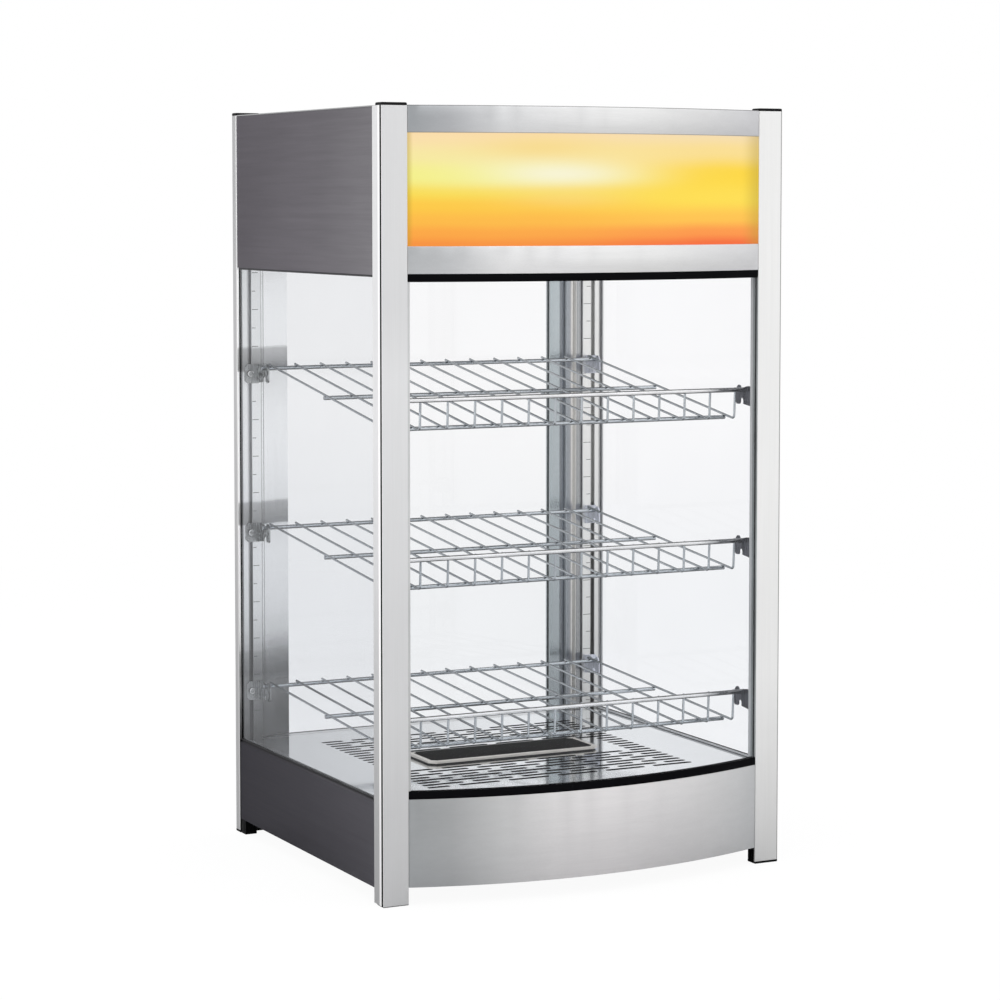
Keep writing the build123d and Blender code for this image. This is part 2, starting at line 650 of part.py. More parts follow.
with BuildPart() as latch_stile:
    with BuildSketch(Plane.XY.offset(door_z0)):
        with Locations((-181.5, 220.35)):
            Rectangle(29.0, door_rear - door_front)
        with Locations((-169.0, 220.3)):
            Rectangle(7.0, 4.4, mode=Mode.SUBTRACT)
        with Locations((-188.5, 215.6)):
            Rectangle(4.4, 1.6, mode=Mode.SUBTRACT)
    extrude(amount=door_z1 - door_z0)
    for z0, z1 in ((88.0, 92.4), (647.6, 652.0)):
        block(-190.7, -166.0, 215.0, 216.4, z0, z1, mode=Mode.SUBTRACT)

with BuildPart() as door_stiles:
    add(hinge_stile.part)
    add(latch_stile.part)
save(door_stiles.part, "door_stiles")

with BuildPart() as door_rails:
    for z0, z1, g0, g1, s0, s1 in ((door_z0, 104.0, 88.0, 92.4, 98.5, 104.5), (636.0, door_z1, 647.6, 652.0, 635.5, 641.5)):
        block(-166.9, 166.9, door_front, door_rear, z0, z1)
        block(-167.0, 167.0, 218.1, 222.5, s0, s1, mode=Mode.SUBTRACT)
        block(-167.0, 167.0, 215.0, 216.4, g0, g1, mode=Mode.SUBTRACT)
save(door_rails.part, "door_rails")

with BuildPart() as door_glass:
    block(-172.0, 172.0, 218.3, 222.3, 99.0, 641.0)
save(door_glass.part, "door_glass")

with BuildPart() as door_gasket:
    with BuildSketch(Plane.XZ.offset(-216.3)):
        with Locations((0.0, 370.0)):
            Rectangle(381.2, 563.8)
            Rectangle(372.8, 555.4, mode=Mode.SUBTRACT)
    extrude(amount=1.6)
save(door_gasket.part, "door_gasket")

with BuildPart() as door_grip:
    with BuildSketch(Plane.XY.offset(300.0)):
        with BuildLine():
            Polyline((-196.05, 216.0), (-199.2, 216.0), (-199.2, 220.4), (-200.4, 221.6), (-209.0, 221.6), (-210.4, 223.4),
                     (-209.0, 225.4), (-196.05, 225.4), close=True)
        make_face()
    extrude(amount=150.0)
    fillet(door_grip.edges().filter_by(Axis.Y).group_by(Axis.X)[0], radius=0.6)
save(door_grip.part, "door_grip")

with BuildPart() as hinge_brackets:
    for leaf0, leaf1, plate0, plate1, pin0, pin1 in ((661.0, 663.0, 661.0, 686.0, 645.0, 661.5), (81.0, 83.0, 58.0, 83.0, 82.5, 99.0)):
        block(205.0, 230.0, 214.55, 216.2, plate0, plate1)
        with BuildSketch(Plane.XY.offset(leaf0)):
            with BuildLine():
                Polyline((hinge_x, 214.7), (230.0, 214.7), (230.0, 225.4), (hinge_x, 225.4))
                ThreePointArc((hinge_x, 225.4), (hinge_x - 5.35, 220.05), (hinge_x, 214.7))
            make_face()
        extrude(amount=leaf1 - leaf0)
        with BuildSketch(Plane.XY.offset(pin0)):
            with Locations((hinge_x, hinge_y)):
                Circle(2.5)
        extrude(amount=pin1 - pin0)
save(hinge_brackets.part, "hinge_brackets")

with BuildPart() as rear_screws:
    heads = [(212.0, 216.25, 674.5), (223.5, 216.25, 674.5), (212.0, 216.25, 69.5), (223.5, 216.25, 69.5),
             (-190.0, 214.55, 790.0), (190.0, 214.55, 790.0), (-190.0, 214.55, 680.0), (178.0, 214.55, 700.0),
             (0.0, 214.55, 790.0),
             (-192.0, panel_face + 0.05, 28.0), (192.0, panel_face + 0.05, 28.0),
             (-192.0, panel_face + 0.05, 70.0), (192.0, panel_face + 0.05, 70.0)]
    for x, y, z in heads:
        with BuildSketch(Plane.XZ.offset(-y)):
            with Locations((x, z)):
                Circle(3.6)
        extrude(amount=-1.8)
        with BuildSketch(Plane.XZ.offset(-y - 1.1)):
            with Locations((x, z)):
                Rectangle(4.4, 0.9)
                Rectangle(0.9, 4.4)
        extrude(amount=-1.0, mode=Mode.SUBTRACT)
save(rear_screws.part, "rear_screws")

# ---------------------------------------------------------------- wire shelves and their clips
def wire_line(rear_z, front_z):
    """Height of the bend below the front rod and slope of the wires behind it."""
    bend_z = front_z - bend_drop
    return bend_z, (rear_z + rear_rod_r + wire_r - 0.3 - bend_z) / (rear_rod_y - bend_y)


def shelf(rear_z, front_z):
    """Welded wire shelf: fourteen wires on four cross rods, with a turned-up front lip."""
    lip_y = front_rod_y + front_rod_r + wire_r - 0.3
    bend_z, slope = wire_line(rear_z, front_z)
    with BuildPart() as rack:
        with BuildLine() as wire_path:
            FilletPolyline((0, 183.8, bend_z + slope * (183.8 - bend_y)), (0, bend_y, bend_z), (0, lip_y, front_z + 1.6), radius=4.0)
        with BuildSketch(Plane(origin=wire_path.line @ 0, z_dir=wire_path.line % 0)):
            Circle(wire_r)
        sweep(path=wire_path.line)
        single = rack.part
        with GridLocations(wire_pitch, 0.0, wire_count, 1):
            add(single, mode=Mode.REPLACE)
        rods = ((rear_rod_y, rear_z, rear_rod_r, 212.0),
                (26.5, bend_z + slope * (26.5 - bend_y) - 3.2, 2.25, lip_rod_half),
                (lip_rod_y, bend_z + slope * (lip_rod_y - bend_y) - 3.2, 2.25, lip_rod_half),
                (front_rod_y, front_z, front_rod_r, 212.0))
        for y, z, r, half in rods:
            with BuildSketch(Plane.YZ.offset(-half)):
                with Locations((y, z)):
                    Circle(r)
            extrude(amount=2 * half)
    return rack


def rod_plate(rod_z, rod_r, span, outward, face_y):
    """Rod plate of a clip, a sheet along Y and Z with a seat on top and a notch below."""
    s = outward
    seat = rod_r + 0.3
    with BuildPart() as plate:
        with BuildSketch(Plane.YZ.offset(clip_x0)):
            with BuildLine():
                Polyline((face_y, rod_z - 17.5), (face_y, rod_z + 3.6), (face_y + s * 6.0, rod_z + 4.2))
                ThreePointArc((face_y + s * 6.0, rod_z + 4.2), (face_y + s * (span - 8.5), rod_z + 3.8), (face_y + s * (span - seat), rod_z + 1.6))
                Polyline((face_y + s * (span - seat), rod_z + 1.6), (face_y + s * (span - seat), rod_z))
                ThreePointArc((face_y + s * (span - seat), rod_z), (face_y + s * span, rod_z - seat), (face_y + s * (span + seat), rod_z))
                Polyline((face_y + s * (span + seat), rod_z), (face_y + s * (span + seat), rod_z + 2.4))
                ThreePointArc((face_y + s * (span + seat), rod_z + 2.4), (face_y + s * (span + 5.9), rod_z + 4.9), (face_y + s * (span + 9.4), rod_z + 3.0))
                ThreePointArc((face_y + s * (span + 9.4), rod_z + 3.0), (face_y + s * (span + 11.3), rod_z + 0.6), (face_y + s * (span + 12.0), rod_z - 2.4))
                Polyline((face_y + s * (span + 12.0), rod_z - 2.4), (face_y + s * (span + 12.0), rod_z - 13.4),
                         (face_y + s * (span + 10.4), rod_z - 15.6), (face_y + s * (span + 5.0), rod_z - 15.6),
                         (face_y + s * (span + 3.3), rod_z - 13.8), (face_y + s * (span + 3.3), rod_z - 12.0))
                ThreePointArc((face_y + s * (span + 3.3), rod_z - 12.0), (face_y + s * span, rod_z - 8.7), (face_y + s * (span - 3.3), rod_z - 12.0))
                Polyline((face_y + s * (span - 3.3), rod_z - 12.0), (face_y + s * (span - 3.3), rod_z - 15.2), (face_y, rod_z - 17.5))
            make_face()
        extrude(amount=clip_x1 - clip_x0)
        # flange on the face of the post, with its cut corners and screw hole
        flange_y = face_y + 1.5 if s > 0 else face_y
        with BuildSketch(Plane.XZ.offset(-flange_y)) as flange:
            with Locations((clip_x0 + 8.0, rod_z - 6.95)):
                Rectangle(16.0, 21.1)
            chamfer(flange.vertices().group_by(Axis.X)[-1], length=3.0)
            with Locations((slot_x, rod_z - 6.9)):
                Circle(2.4, mode=Mode.SUBTRACT)
        extrude(amount=1.5)
    return plate


def clip_set(rear_z, front_z):
    """Four clips of one shelf."""
    with BuildPart() as clips:
        for rod_z, rod_r, span, s, face in ((front_z, front_rod_r, front_rod_y - front_post_rear, 1.0, front_post_rear + 0.05),
                                           (rear_z, rear_rod_r, rear_post_front - rear_rod_y, -1.0, rear_post_front - 0.05)):
            clip = rod_plate(rod_z, rod_r, span - 0.05, s, face)
            add(clip.part)
            mirror(clip.part, about=Plane.YZ)
    return clips


def clip_screws(rear_z, front_z):
    """Round-headed screws of the clips, each with its square nut in the T-slot."""
    with BuildPart() as screws:
        for rod_z, s, face in ((front_z, 1.0, front_post_rear), (rear_z, -1.0, rear_post_front)):
            z = rod_z - 6.9
            for x in (-slot_x, slot_x):
                head = [face + s * 1.6, face + s * 4.4]
                with BuildSketch(Plane.XZ.offset(-max(head))):
                    with Locations((x, z)):
                        Circle(3.9)
                extrude(amount=2.8)
                shank = [face - s * 5.0, face + s * 1.7]
                with BuildSketch(Plane.XZ.offset(-max(shank))):
                    with Locations((x, z)):
                        Circle(2.0)
                extrude(amount=6.7)
                nut = [face - s * 2.1, face - s * 4.8]
                with BuildSketch(Plane.XZ.offset(-max(nut))):
                    with Locations((x, z)):
                        Rectangle(9.4, 9.0)
                extrude(amount=2.7)
        round_heads = screws.faces().filter_by(Axis.Y).filter_by(lambda f: abs(f.area - math.pi * 3.9 ** 2) < 0.5)
        fillet(round_heads.edges(), radius=1.2)
        for rod_z, s, face in ((front_z, 1.0, front_post_rear), (rear_z, -1.0, rear_post_front)):
            for x in (-slot_x, slot_x):
                block(x - 2.3, x + 2.3, min(face + s * 3.5, face + s * 4.6), max(face + s * 3.5, face + s * 4.6),
                      rod_z - 7.4, rod_z - 6.4, mode=Mode.SUBTRACT)
    return screws


for level, rear_z, front_z in shelf_levels:
    save(shelf(rear_z, front_z).part, "shelf_" + level)
    save(clip_set(rear_z, front_z).part, "shelf_clips_" + level)
    save(clip_screws(rear_z, front_z).part, "clip_screws_" + level)
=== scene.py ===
import math

import bmesh
import bpy
from mathutils import Matrix, Vector


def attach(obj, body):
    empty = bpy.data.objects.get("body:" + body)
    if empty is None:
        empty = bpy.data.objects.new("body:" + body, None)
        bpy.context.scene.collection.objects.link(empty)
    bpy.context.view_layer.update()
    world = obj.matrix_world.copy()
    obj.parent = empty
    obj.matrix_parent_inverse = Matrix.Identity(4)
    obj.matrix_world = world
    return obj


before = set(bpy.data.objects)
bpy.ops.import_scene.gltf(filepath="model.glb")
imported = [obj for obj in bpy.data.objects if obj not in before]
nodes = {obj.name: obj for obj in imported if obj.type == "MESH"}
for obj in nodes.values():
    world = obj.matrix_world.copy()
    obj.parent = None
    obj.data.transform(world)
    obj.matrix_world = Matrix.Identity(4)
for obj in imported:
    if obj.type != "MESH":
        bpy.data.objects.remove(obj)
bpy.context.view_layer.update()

scene = bpy.context.scene
scene.view_settings.view_transform = "Standard"
scene.view_settings.look = "None"

# ---------------------------------------------------------------- camera
YAW, PITCH = math.radians(26.552), math.radians(3.908)
cam_data = bpy.data.cameras.new("camera")
cam_data.lens = 104.02
cam_data.shift_y = -0.10
cam_data.sensor_width = 36.0
cam_data.clip_start, cam_data.clip_end = 0.05, 50.0
cam = bpy.data.objects.new("camera", cam_data)
scene.collection.objects.link(cam)
cam.location = (-1.4056, -2.7997, 0.7069)
look = Vector((math.sin(YAW) * math.cos(PITCH), math.cos(YAW) * math.cos(PITCH), -math.sin(PITCH)))
cam.rotation_mode = "QUATERNION"
cam.rotation_quaternion = look.to_track_quat("-Z", "Y")
scene.camera = cam


# ---------------------------------------------------------------- node graphs
class Graph:
    """A few short calls for building a node tree."""

    def __init__(self, tree):
        self.tree = tree
        tree.nodes.clear()

    def add(self, kind, settings=None, inputs=None):
        n = self.tree.nodes.new(kind)
        for k, v in (settings or {}).items():
            setattr(n, k, v)
        for k, v in (inputs or {}).items():
            self.put(n.inputs[k], v)
        return n

    def put(self, socket, v):
        if isinstance(v, bpy.types.NodeSocket):
            self.tree.links.new(v, socket)
        elif isinstance(v, bpy.types.Node):
            self.tree.links.new(v.outputs[0], socket)
        elif socket.type == "RGBA" and len(v) == 3:
            socket.default_value = (*v, 1.0)
        else:
            socket.default_value = v

    def math(self, op, a, b=None, c=None, clamp=False):
        n = self.add("ShaderNodeMath", {"operation": op, "use_clamp": clamp})
        for i, v in enumerate((a, b, c)):
            if v is not None:
                self.put(n.inputs[i], v)
        return n.outputs[0]

    def span(self, v, lo, hi, to_lo=0.0, to_hi=1.0, smooth=True):
        n = self.add("ShaderNodeMapRange", {"interpolation_type": "SMOOTHSTEP" if smooth else "LINEAR"})
        self.put(n.inputs["Value"], v)
        for k, x in (("From Min", lo), ("From Max", hi), ("To Min", to_lo), ("To Max", to_hi)):
            n.inputs[k].default_value = x
        return n.outputs[0]

    def mix(self, f, a, b, blend="MIX"):
        n = self.add("ShaderNodeMix", {"data_type": "RGBA", "blend_type": blend})
        self.put(n.inputs[0], f)
        self.put(n.inputs[6], a)
        self.put(n.inputs[7], b)
        return n.outputs[2]

    def ramp(self, f, stops, ease="LINEAR"):
        n = self.add("ShaderNodeValToRGB", inputs={0: f})
        n.color_ramp.interpolation = ease
        e = n.color_ramp.elements
        e[1].position = stops[-1][0]
        e[0].position = stops[0][0]
        items = [e[0], e[1]]
        for item, (p, c) in zip(items, (stops[0], stops[-1])):
            item.color = (*c, 1.0) if hasattr(c, "__len__") else (c, c, c, 1.0)
        for p, c in stops[1:-1]:
            e.new(p).color = (*c, 1.0) if hasattr(c, "__len__") else (c, c, c, 1.0)
        return n.outputs[0]

    def scaled(self, colour, f):
        """A colour times a value."""
        n = self.add("ShaderNodeVectorMath", {"operation": "SCALE"})
        self.put(n.inputs[0], colour)
        self.put(n.inputs["Scale"], f)
        return n.outputs[0]

    def both(self, *values):
        """Product of several masks."""
        out = values[0]
        for v in values[1:]:
            out = self.math("MULTIPLY", out, v)
        return out

    def above(self, v, edge):
        return self.math("GREATER_THAN", v, edge)

    def below(self, v, edge):
        return self.math("LESS_THAN", v, edge)

    def noise(self, coords, scale, detail=3.0, rough=0.55, stretch=(1, 1, 1), shift=(0, 0, 0)):
        m = self.add("ShaderNodeMapping", {"vector_type": "POINT"}, {"Vector": coords, "Scale": stretch, "Location": shift})
        n = self.add("ShaderNodeTexNoise", {"noise_dimensions": "3D"},
                     {"Vector": m, "Scale": scale, "Detail": detail, "Roughness": rough})
        return n.outputs["Fac"]


def srgb(code):
    """Linear colour of a hex code."""
    out = []
    for k in (1, 3, 5):
        c = int(code[k:k + 2], 16) / 255
        out.append(c / 12.92 if c <= 0.04045 else ((c + 0.055) / 1.055) ** 2.4)
    return tuple(out)


def new_material(name):
    m = bpy.data.materials.new(name)
    m.use_nodes = True
    g = Graph(m.node_tree)
    out = g.add("ShaderNodeOutputMaterial")
    co = g.add("ShaderNodeTexCoord")
    xyz = g.add("ShaderNodeSeparateXYZ", inputs={0: co.outputs["Object"]})
    return m, g, out, co.outputs["Object"], xyz.outputs, co.outputs["Normal"]


def principled(g, out, **inputs):
    p = g.add("ShaderNodeBsdfPrincipled", inputs=inputs)
    g.tree.links.new(p.outputs[0], out.inputs["Surface"])
    return p


def tinted(g, colour, value, amount):
    """The colour made a little lighter and darker by a 0..1 value."""
    f = g.math("MULTIPLY_ADD", value, 2.0 * amount, 1.0 - amount)
    scale = g.add("ShaderNodeVectorMath", {"operation": "SCALE"})
    g.put(scale.inputs[0], colour)
    g.put(scale.inputs["Scale"], f)
    return scale.outputs[0]


GRAIN = {"X": (1.0, 260.0, 260.0), "Y": (260.0, 1.0, 260.0), "Z": (260.0, 260.0, 1.0)}
SOFT_GRAIN = {"X": (1.0, 26.0, 26.0), "Y": (26.0, 1.0, 26.0), "Z": (26.0, 26.0, 1.0)}


def brushed(name, colour, grain, rough=0.26, fine=0.10, broad=0.05, bump=0.12, aniso=0.5, metal=1.0, shade=None, metal_by=None,
            glow_by=None, edge_tint=None):
    """Brushed metal sheet: fine scratches along the grain, broader bands and slow cloudiness."""
    m, g, out, co, xyz, normal = new_material(name)
    lines = g.noise(co, 9.0, 4.0, 0.65, GRAIN[grain])
    bands = g.noise(co, 7.0, 3.0, 0.6, SOFT_GRAIN[grain], (3.1, 1.7, 0.4))
    cloud = g.noise(co, 5.0, 2.0, 0.5, (1, 1, 1), (7.0, 2.0, 5.0))
    base = colour if shade is None else shade(g, co, xyz, normal)
    base = tinted(g, base, g.span(lines, 0.25, 0.75, smooth=False), fine)
    base = tinted(g, base, g.span(bands, 0.3, 0.7, smooth=False), broad)
    base = tinted(g, base, g.span(cloud, 0.3, 0.7, smooth=False), broad)
    r = g.math("MULTIPLY_ADD", lines, 0.16, rough - 0.08)
    r = g.math("MULTIPLY_ADD", cloud, 0.08, g.math("SUBTRACT", r, 0.04))
    b = g.add("ShaderNodeBump", inputs={"Height": lines, "Strength": bump, "Distance": 0.00012})
    if metal_by is not None:
        metal = metal_by(g, co, xyz, normal)
    p = principled(g, out, **{"Base Color": base, "Metallic": metal, "Roughness": r, "Normal": b})
    p.inputs["Anisotropic"].default_value = aniso
    if edge_tint is not None:
        p.inputs["Specular Tint"].default_value = (*edge_tint, 1.0)
    if glow_by is not None:
        g.put(p.inputs["Emission Color"], glow_by(g, co, xyz, normal))
        p.inputs["Emission Strength"].default_value = 1.0
    along = {"X": (1, 0, 0), "Y": (0, 1, 0), "Z": (0, 0, 1)}[grain]
    t = g.add("ShaderNodeCombineXYZ", inputs={0: float(along[0]), 1: float(along[1]), 2: float(along[2])})
    g.put(p.inputs["Tangent"], t)
    return m


def moulded(name, colour, rough=0.42, grain=900.0, bump=0.12, coat=0.0, shade=None, spec=0.5):
    """Moulded plastic or rubber: a fine spark-eroded grain and slow changes of gloss."""
    m, g, out, co, xyz, normal = new_material(name)
    fine = g.noise(co, grain, 3.0, 0.6)
    cloud = g.noise(co, 14.0, 3.0, 0.5)
    base = colour if shade is None else shade(g, co, xyz, normal)
    base = tinted(g, base, cloud, 0.18)
    r = g.math("MULTIPLY_ADD", cloud, 0.16, rough - 0.08)
    r = g.math("MULTIPLY_ADD", fine, 0.08, g.math("SUBTRACT", r, 0.04))
    b = g.add("ShaderNodeBump", inputs={"Height": fine, "Strength": bump, "Distance": 0.0001})
    p = principled(g, out, **{"Base Color": base, "Roughness": r, "Normal": b})
    p.inputs["Coat Weight"].default_value = coat
    p.inputs["Specular IOR Level"].default_value = spec
    return m


def smoothly(g, v, lo, hi, a, b):
    """Colour a below lo, b above hi."""
    return g.mix(g.span(v, lo, hi), a, b)


# ---------------------------------------------------------------- metals
def chamber_painted_shade(g, co, xyz):
    """Painted shade and reflection for the chamber's rear faces: clear above; on the left, painted dark reflection
    bands over each shelf and painted shade towards the deck; on the right, painted shade towards the deck.
    """
    streak = g.noise(co, 6.0, 4.0, 0.62, (1.0, 1.0, 9.0), (0.3, 4.0, 1.0))
    z = g.math("MULTIPLY_ADD", g.math("SUBTRACT", streak, 0.5), g.span(xyz[2], 0.20, 0.24, 0.030, 0.003), xyz[2])
    tones = [(100, .10), (114, .14), (137, .23), (150, .33), (162, .41), (174, .38), (181, .28), (185, .31), (196, .41), (204, .52),
             (208, .66), (215, .76), (227, .86), (250, .93), (316, 1.0), (346, 1.0), (348, .48), (360, .51), (371, .60), (374, .98),
             (428, 1.0), (518, 1.0), (520.5, .42), (531, .51), (544, .64), (547, 1.0), (600, 1.0)]
    left = g.ramp(g.span(z, 0.10, 0.60, smooth=False), [((a - 100) / 500, v) for a, v in tones])
    right = g.ramp(g.span(xyz[2], 0.10, 0.60, smooth=False), [(0.0, 0.72), (0.20, 0.86), (0.40, 0.95), (0.62, 1.0), (1.0, 1.0)])
    return g.mix(g.above(xyz[0], 0.0), left, right)


def post_shade(g, co, xyz, normal):
    """Anodised profile coloured with painted light: a clear front face with a painted reflection that fades downwards,
    a painted highlight on the corner edge, chamber faces with painted shade by side.
    """
    n = g.add("ShaderNodeSeparateXYZ", inputs={0: normal}).outputs
    right = g.above(xyz[0], 0.0)
    # painted reflection on the front faces: darker towards the floor, lightest high up
    low_l = g.ramp(g.span(xyz[2], 0.0, 0.60, smooth=False),
                   [(0.0, 0.76), (0.17, 0.80), (0.33, 0.90), (0.50, 0.935), (0.75, 1.02), (0.88, 1.04), (1.0, 0.95)])
    low_r = g.ramp(g.span(xyz[2], 0.0, 0.80, smooth=False),
                   [(0.0, 0.67), (0.075, 0.77), (0.165, 0.88), (0.255, 0.965), (0.39, 0.985), (0.524, 1.02), (0.66, 0.985), (0.79, 0.975), (1.0, 0.94)])
    face = g.mix(right, g.scaled((0.80, 0.803, 0.812), low_l), g.scaled((0.95, 0.95, 0.945), low_r))
    # painted light: inner faces of the right lip made near white like the glass beside them
    lip = g.both(right, g.above(xyz[0], 0.2300), g.above(xyz[1], -0.1744), g.below(xyz[1], 0.0))
    # outer edge of the right post
    rim = g.both(g.above(xyz[0], 0.2309), g.below(n[1], -0.5))
    face = g.mix(rim, face, (0.34, 0.34, 0.34))
    # painted light on the side faces of the front posts: bright next to the corner strip, greyer on the lip, painted
    # shade towards the bottom
    side = g.both(g.above(g.math("ABSOLUTE", n[0]), 0.6), g.below(xyz[1], -0.10))
    near = g.span(xyz[1], -0.1795, -0.1812)
    deep = g.span(xyz[2], 0.05, 0.36, 0.76, 1.0)
    edge = g.mix(near, g.scaled((0.80, 0.80, 0.81), g.span(xyz[2], 0.05, 0.5, 0.45, 1.0)), g.scaled((0.98, 0.98, 0.985), deep))
    face = g.mix(side, face, edge)
    face = g.mix(lip, face, (0.97, 0.97, 0.975))
    # faces of the rear posts towards the chamber, with the chamber's painted shade and reflection bands
    rear = g.above(xyz[1], 0.1)
    inner = g.both(rear, g.below(xyz[1], 0.2141), g.above(g.math("ABSOLUTE", n[1]), 0.5))
    inside = g.scaled(g.mix(right, (0.97, 0.98, 0.985), (0.95, 0.95, 0.93)), chamber_painted_shade(g, co, xyz))
    face = g.mix(inner, face, inside)
    # painted shade inside the rear posts' slots, darker towards the deck
    slot = g.both(rear, g.above(xyz[1], 0.2029), g.below(xyz[1], 0.2140), g.below(g.math("ABSOLUTE", xyz[0]), 0.2226))
    face = g.mix(slot, face, g.scaled(face, g.span(xyz[2], 0.24, 0.38, 0.52, 0.98)))
    # outer sides of the rear posts: a painted highlight near the front edge and painted shade towards the bottom
    outer = g.both(rear, g.above(g.math("ABSOLUTE", n[0]), 0.6))
    skin = g.mix(g.span(xyz[1], 0.2058, 0.2048), (0.74, 0.74, 0.75), (0.98, 0.98, 0.985))
    return g.mix(outer, face, g.scaled(skin, g.span(xyz[2], 0.05, 0.60, 0.62, 1.0)))


def post_metal(g, co, xyz, normal):
    n = g.add("ShaderNodeSeparateXYZ", inputs={0: normal}).outputs
    side = g.both(g.above(g.math("ABSOLUTE", n[0]), 0.6), g.below(xyz[1], -0.10))
    inner = g.both(g.above(xyz[1], 0.1), g.below(xyz[1], 0.2141))
    m = g.math("MULTIPLY_ADD", side, -0.55, 0.72)
    return g.math("MAXIMUM", m, g.math("MULTIPLY", inner, 0.9))


def door_shade(g, co, xyz, normal):
    """Door frame and jambs coloured with painted reflections: light on the left with painted shade lines at the gaps,
    blue-grey on the right with a pale painted strip and dark painted lines; the chamber side also takes the chamber's
    painted shade.
    """
    x = g.span(xyz[0], 0.160, 0.205, smooth=False)
    right = g.ramp(x, [(0.0, (0.50, 0.555, 0.575)), (0.42, (0.52, 0.57, 0.59)), (0.455, (0.24, 0.26, 0.28)), (0.50, (0.26, 0.28, 0.30)),
                       (0.52, (0.50, 0.53, 0.57)), (0.58, (0.46, 0.49, 0.525)), (0.60, (0.35, 0.375, 0.40)), (0.66, (0.37, 0.39, 0.415)), (0.70, (0.46, 0.465, 0.47)),
                       (0.73, (0.82, 0.803, 0.775)), (0.81, (0.82, 0.803, 0.775)), (0.825, (0.37, 0.378, 0.385)), (0.88, (0.46, 0.467, 0.474)),
                       (0.93, (0.36, 0.368, 0.376)), (0.97, (0.20, 0.208, 0.215)), (1.0, (0.21, 0.218, 0.225))])
    # painted shade lines at the gaps beside the left jamb
    edges = g.math("MAXIMUM", g.below(xyz[0], -0.2019), g.both(g.above(xyz[0], -0.2005), g.below(xyz[0], -0.1994)))
    left = g.mix(edges, (0.965, 0.975, 0.985), (0.42, 0.43, 0.44))
    face = g.mix(g.above(xyz[0], 0.05), left, right)
    inner = g.below(xyz[1], 0.2250)
    return g.mix(inner, (0.74, 0.75, 0.76), g.scaled(face, chamber_painted_shade(g, co, xyz)))


def door_metal(g, co, xyz, normal):
    """Side faces of the jambs and stiles take the light evenly."""
    n = g.add("ShaderNodeSeparateXYZ", inputs={0: normal}).outputs
    return g.math("MULTIPLY_ADD", g.above(g.math("ABSOLUTE", n[0]), 0.6), -0.75, 1.0)


def post_painted_glow(g, co, xyz, normal):
    """Painted light: a faint emission on the chamber faces of the left rear post and on the corner edges, standing in
    for light they do not receive.
    """
    n = g.add("ShaderNodeSeparateXYZ", inputs={0: normal}).outputs
    inner = g.both(g.above(xyz[1], 0.1), g.below(xyz[1], 0.2029), g.below(xyz[0], 0.0), g.above(g.math("ABSOLUTE", n[1]), 0.5))
    edge = g.both(g.above(g.math("ABSOLUTE", n[0]), 0.6), g.below(xyz[1], -0.1795), g.below(xyz[0], 0.0))
    tone = g.math("POWER", g.math("MINIMUM", g.add("ShaderNodeRGBToBW", inputs={0: chamber_painted_shade(g, co, xyz)}).outputs[0], 1.0), 3.0)
    return g.scaled((1.0, 1.0, 1.0), g.math("ADD", g.math("MULTIPLY", inner, g.math("MULTIPLY", tone, 0.17)), g.math("MULTIPLY", edge, 0.11)))


# Painted light: a faint emission on the left stiles' chamber faces, weighted by the chamber's painted shade.
def door_painted_glow(g, co, xyz, normal):
    n = g.add("ShaderNodeSeparateXYZ", inputs={0: normal}).outputs
    inner = g.both(g.below(xyz[1], 0.2250), g.below(xyz[0], 0.05), g.above(g.math("MULTIPLY", n[1], -1.0), 0.5))
    tone = g.math("POWER", g.math("MINIMUM", g.add("ShaderNodeRGBToBW", inputs={0: chamber_painted_shade(g, co, xyz)}).outputs[0], 1.0), 3.0)
    return g.scaled((1.0, 1.0, 1.0), g.math("MULTIPLY", inner, g.math("MULTIPLY", tone, 0.17)))


MAT = {}
MAT["post"] = brushed("post_aluminium", None, "Z", rough=0.33, fine=0.03, broad=0.012, bump=0.05, aniso=0.35, shade=post_shade, metal_by=post_metal, glow_by=post_painted_glow)
MAT["door"] = brushed("door_aluminium", None, "Z", rough=0.22, fine=0.03, broad=0.02, bump=0.04, aniso=0.3, shade=door_shade, metal_by=door_metal, glow_by=door_painted_glow)


def strip_shade(g, co, xyz, normal):
    """Upper and lower strip: painted soft reflections that run darker towards the left end; the upper strip is darker
    along its top edge and beside the sign.
    """
    t = g.span(xyz[0], -0.2035, 0.2035, smooth=False)
    upper = g.ramp(t, [(0.0, (0.43, 0.45, 0.47)), (0.10, (0.53, 0.54, 0.56)), (0.228, (0.77, 0.775, 0.785)), (0.363, (0.78, 0.78, 0.785)),
                       (0.506, (0.80, 0.80, 0.80)), (0.656, (0.76, 0.76, 0.76)), (0.81, (0.72, 0.72, 0.725)), (1.0, (0.67, 0.67, 0.69))])
    lower = g.ramp(t, [(0.0, (0.58, 0.595, 0.61)), (0.10, (0.63, 0.64, 0.655)), (0.228, (0.85, 0.85, 0.855)), (0.363, (0.83, 0.83, 0.835)),
                       (0.506, (0.82, 0.82, 0.82)), (0.656, (0.80, 0.80, 0.80)), (0.81, (0.76, 0.76, 0.765)), (1.0, (0.73, 0.73, 0.745))])
    both = g.mix(g.above(xyz[2], 0.70), lower, upper)
    joint = g.math("MAXIMUM", g.math("MULTIPLY", g.above(xyz[2], 0.80290), 0.66), g.math("MULTIPLY", g.both(g.above(xyz[2], 0.70), g.below(xyz[2], 0.7770)), 0.45))
    return g.scaled(both, g.math("SUBTRACT", 1.06, joint))


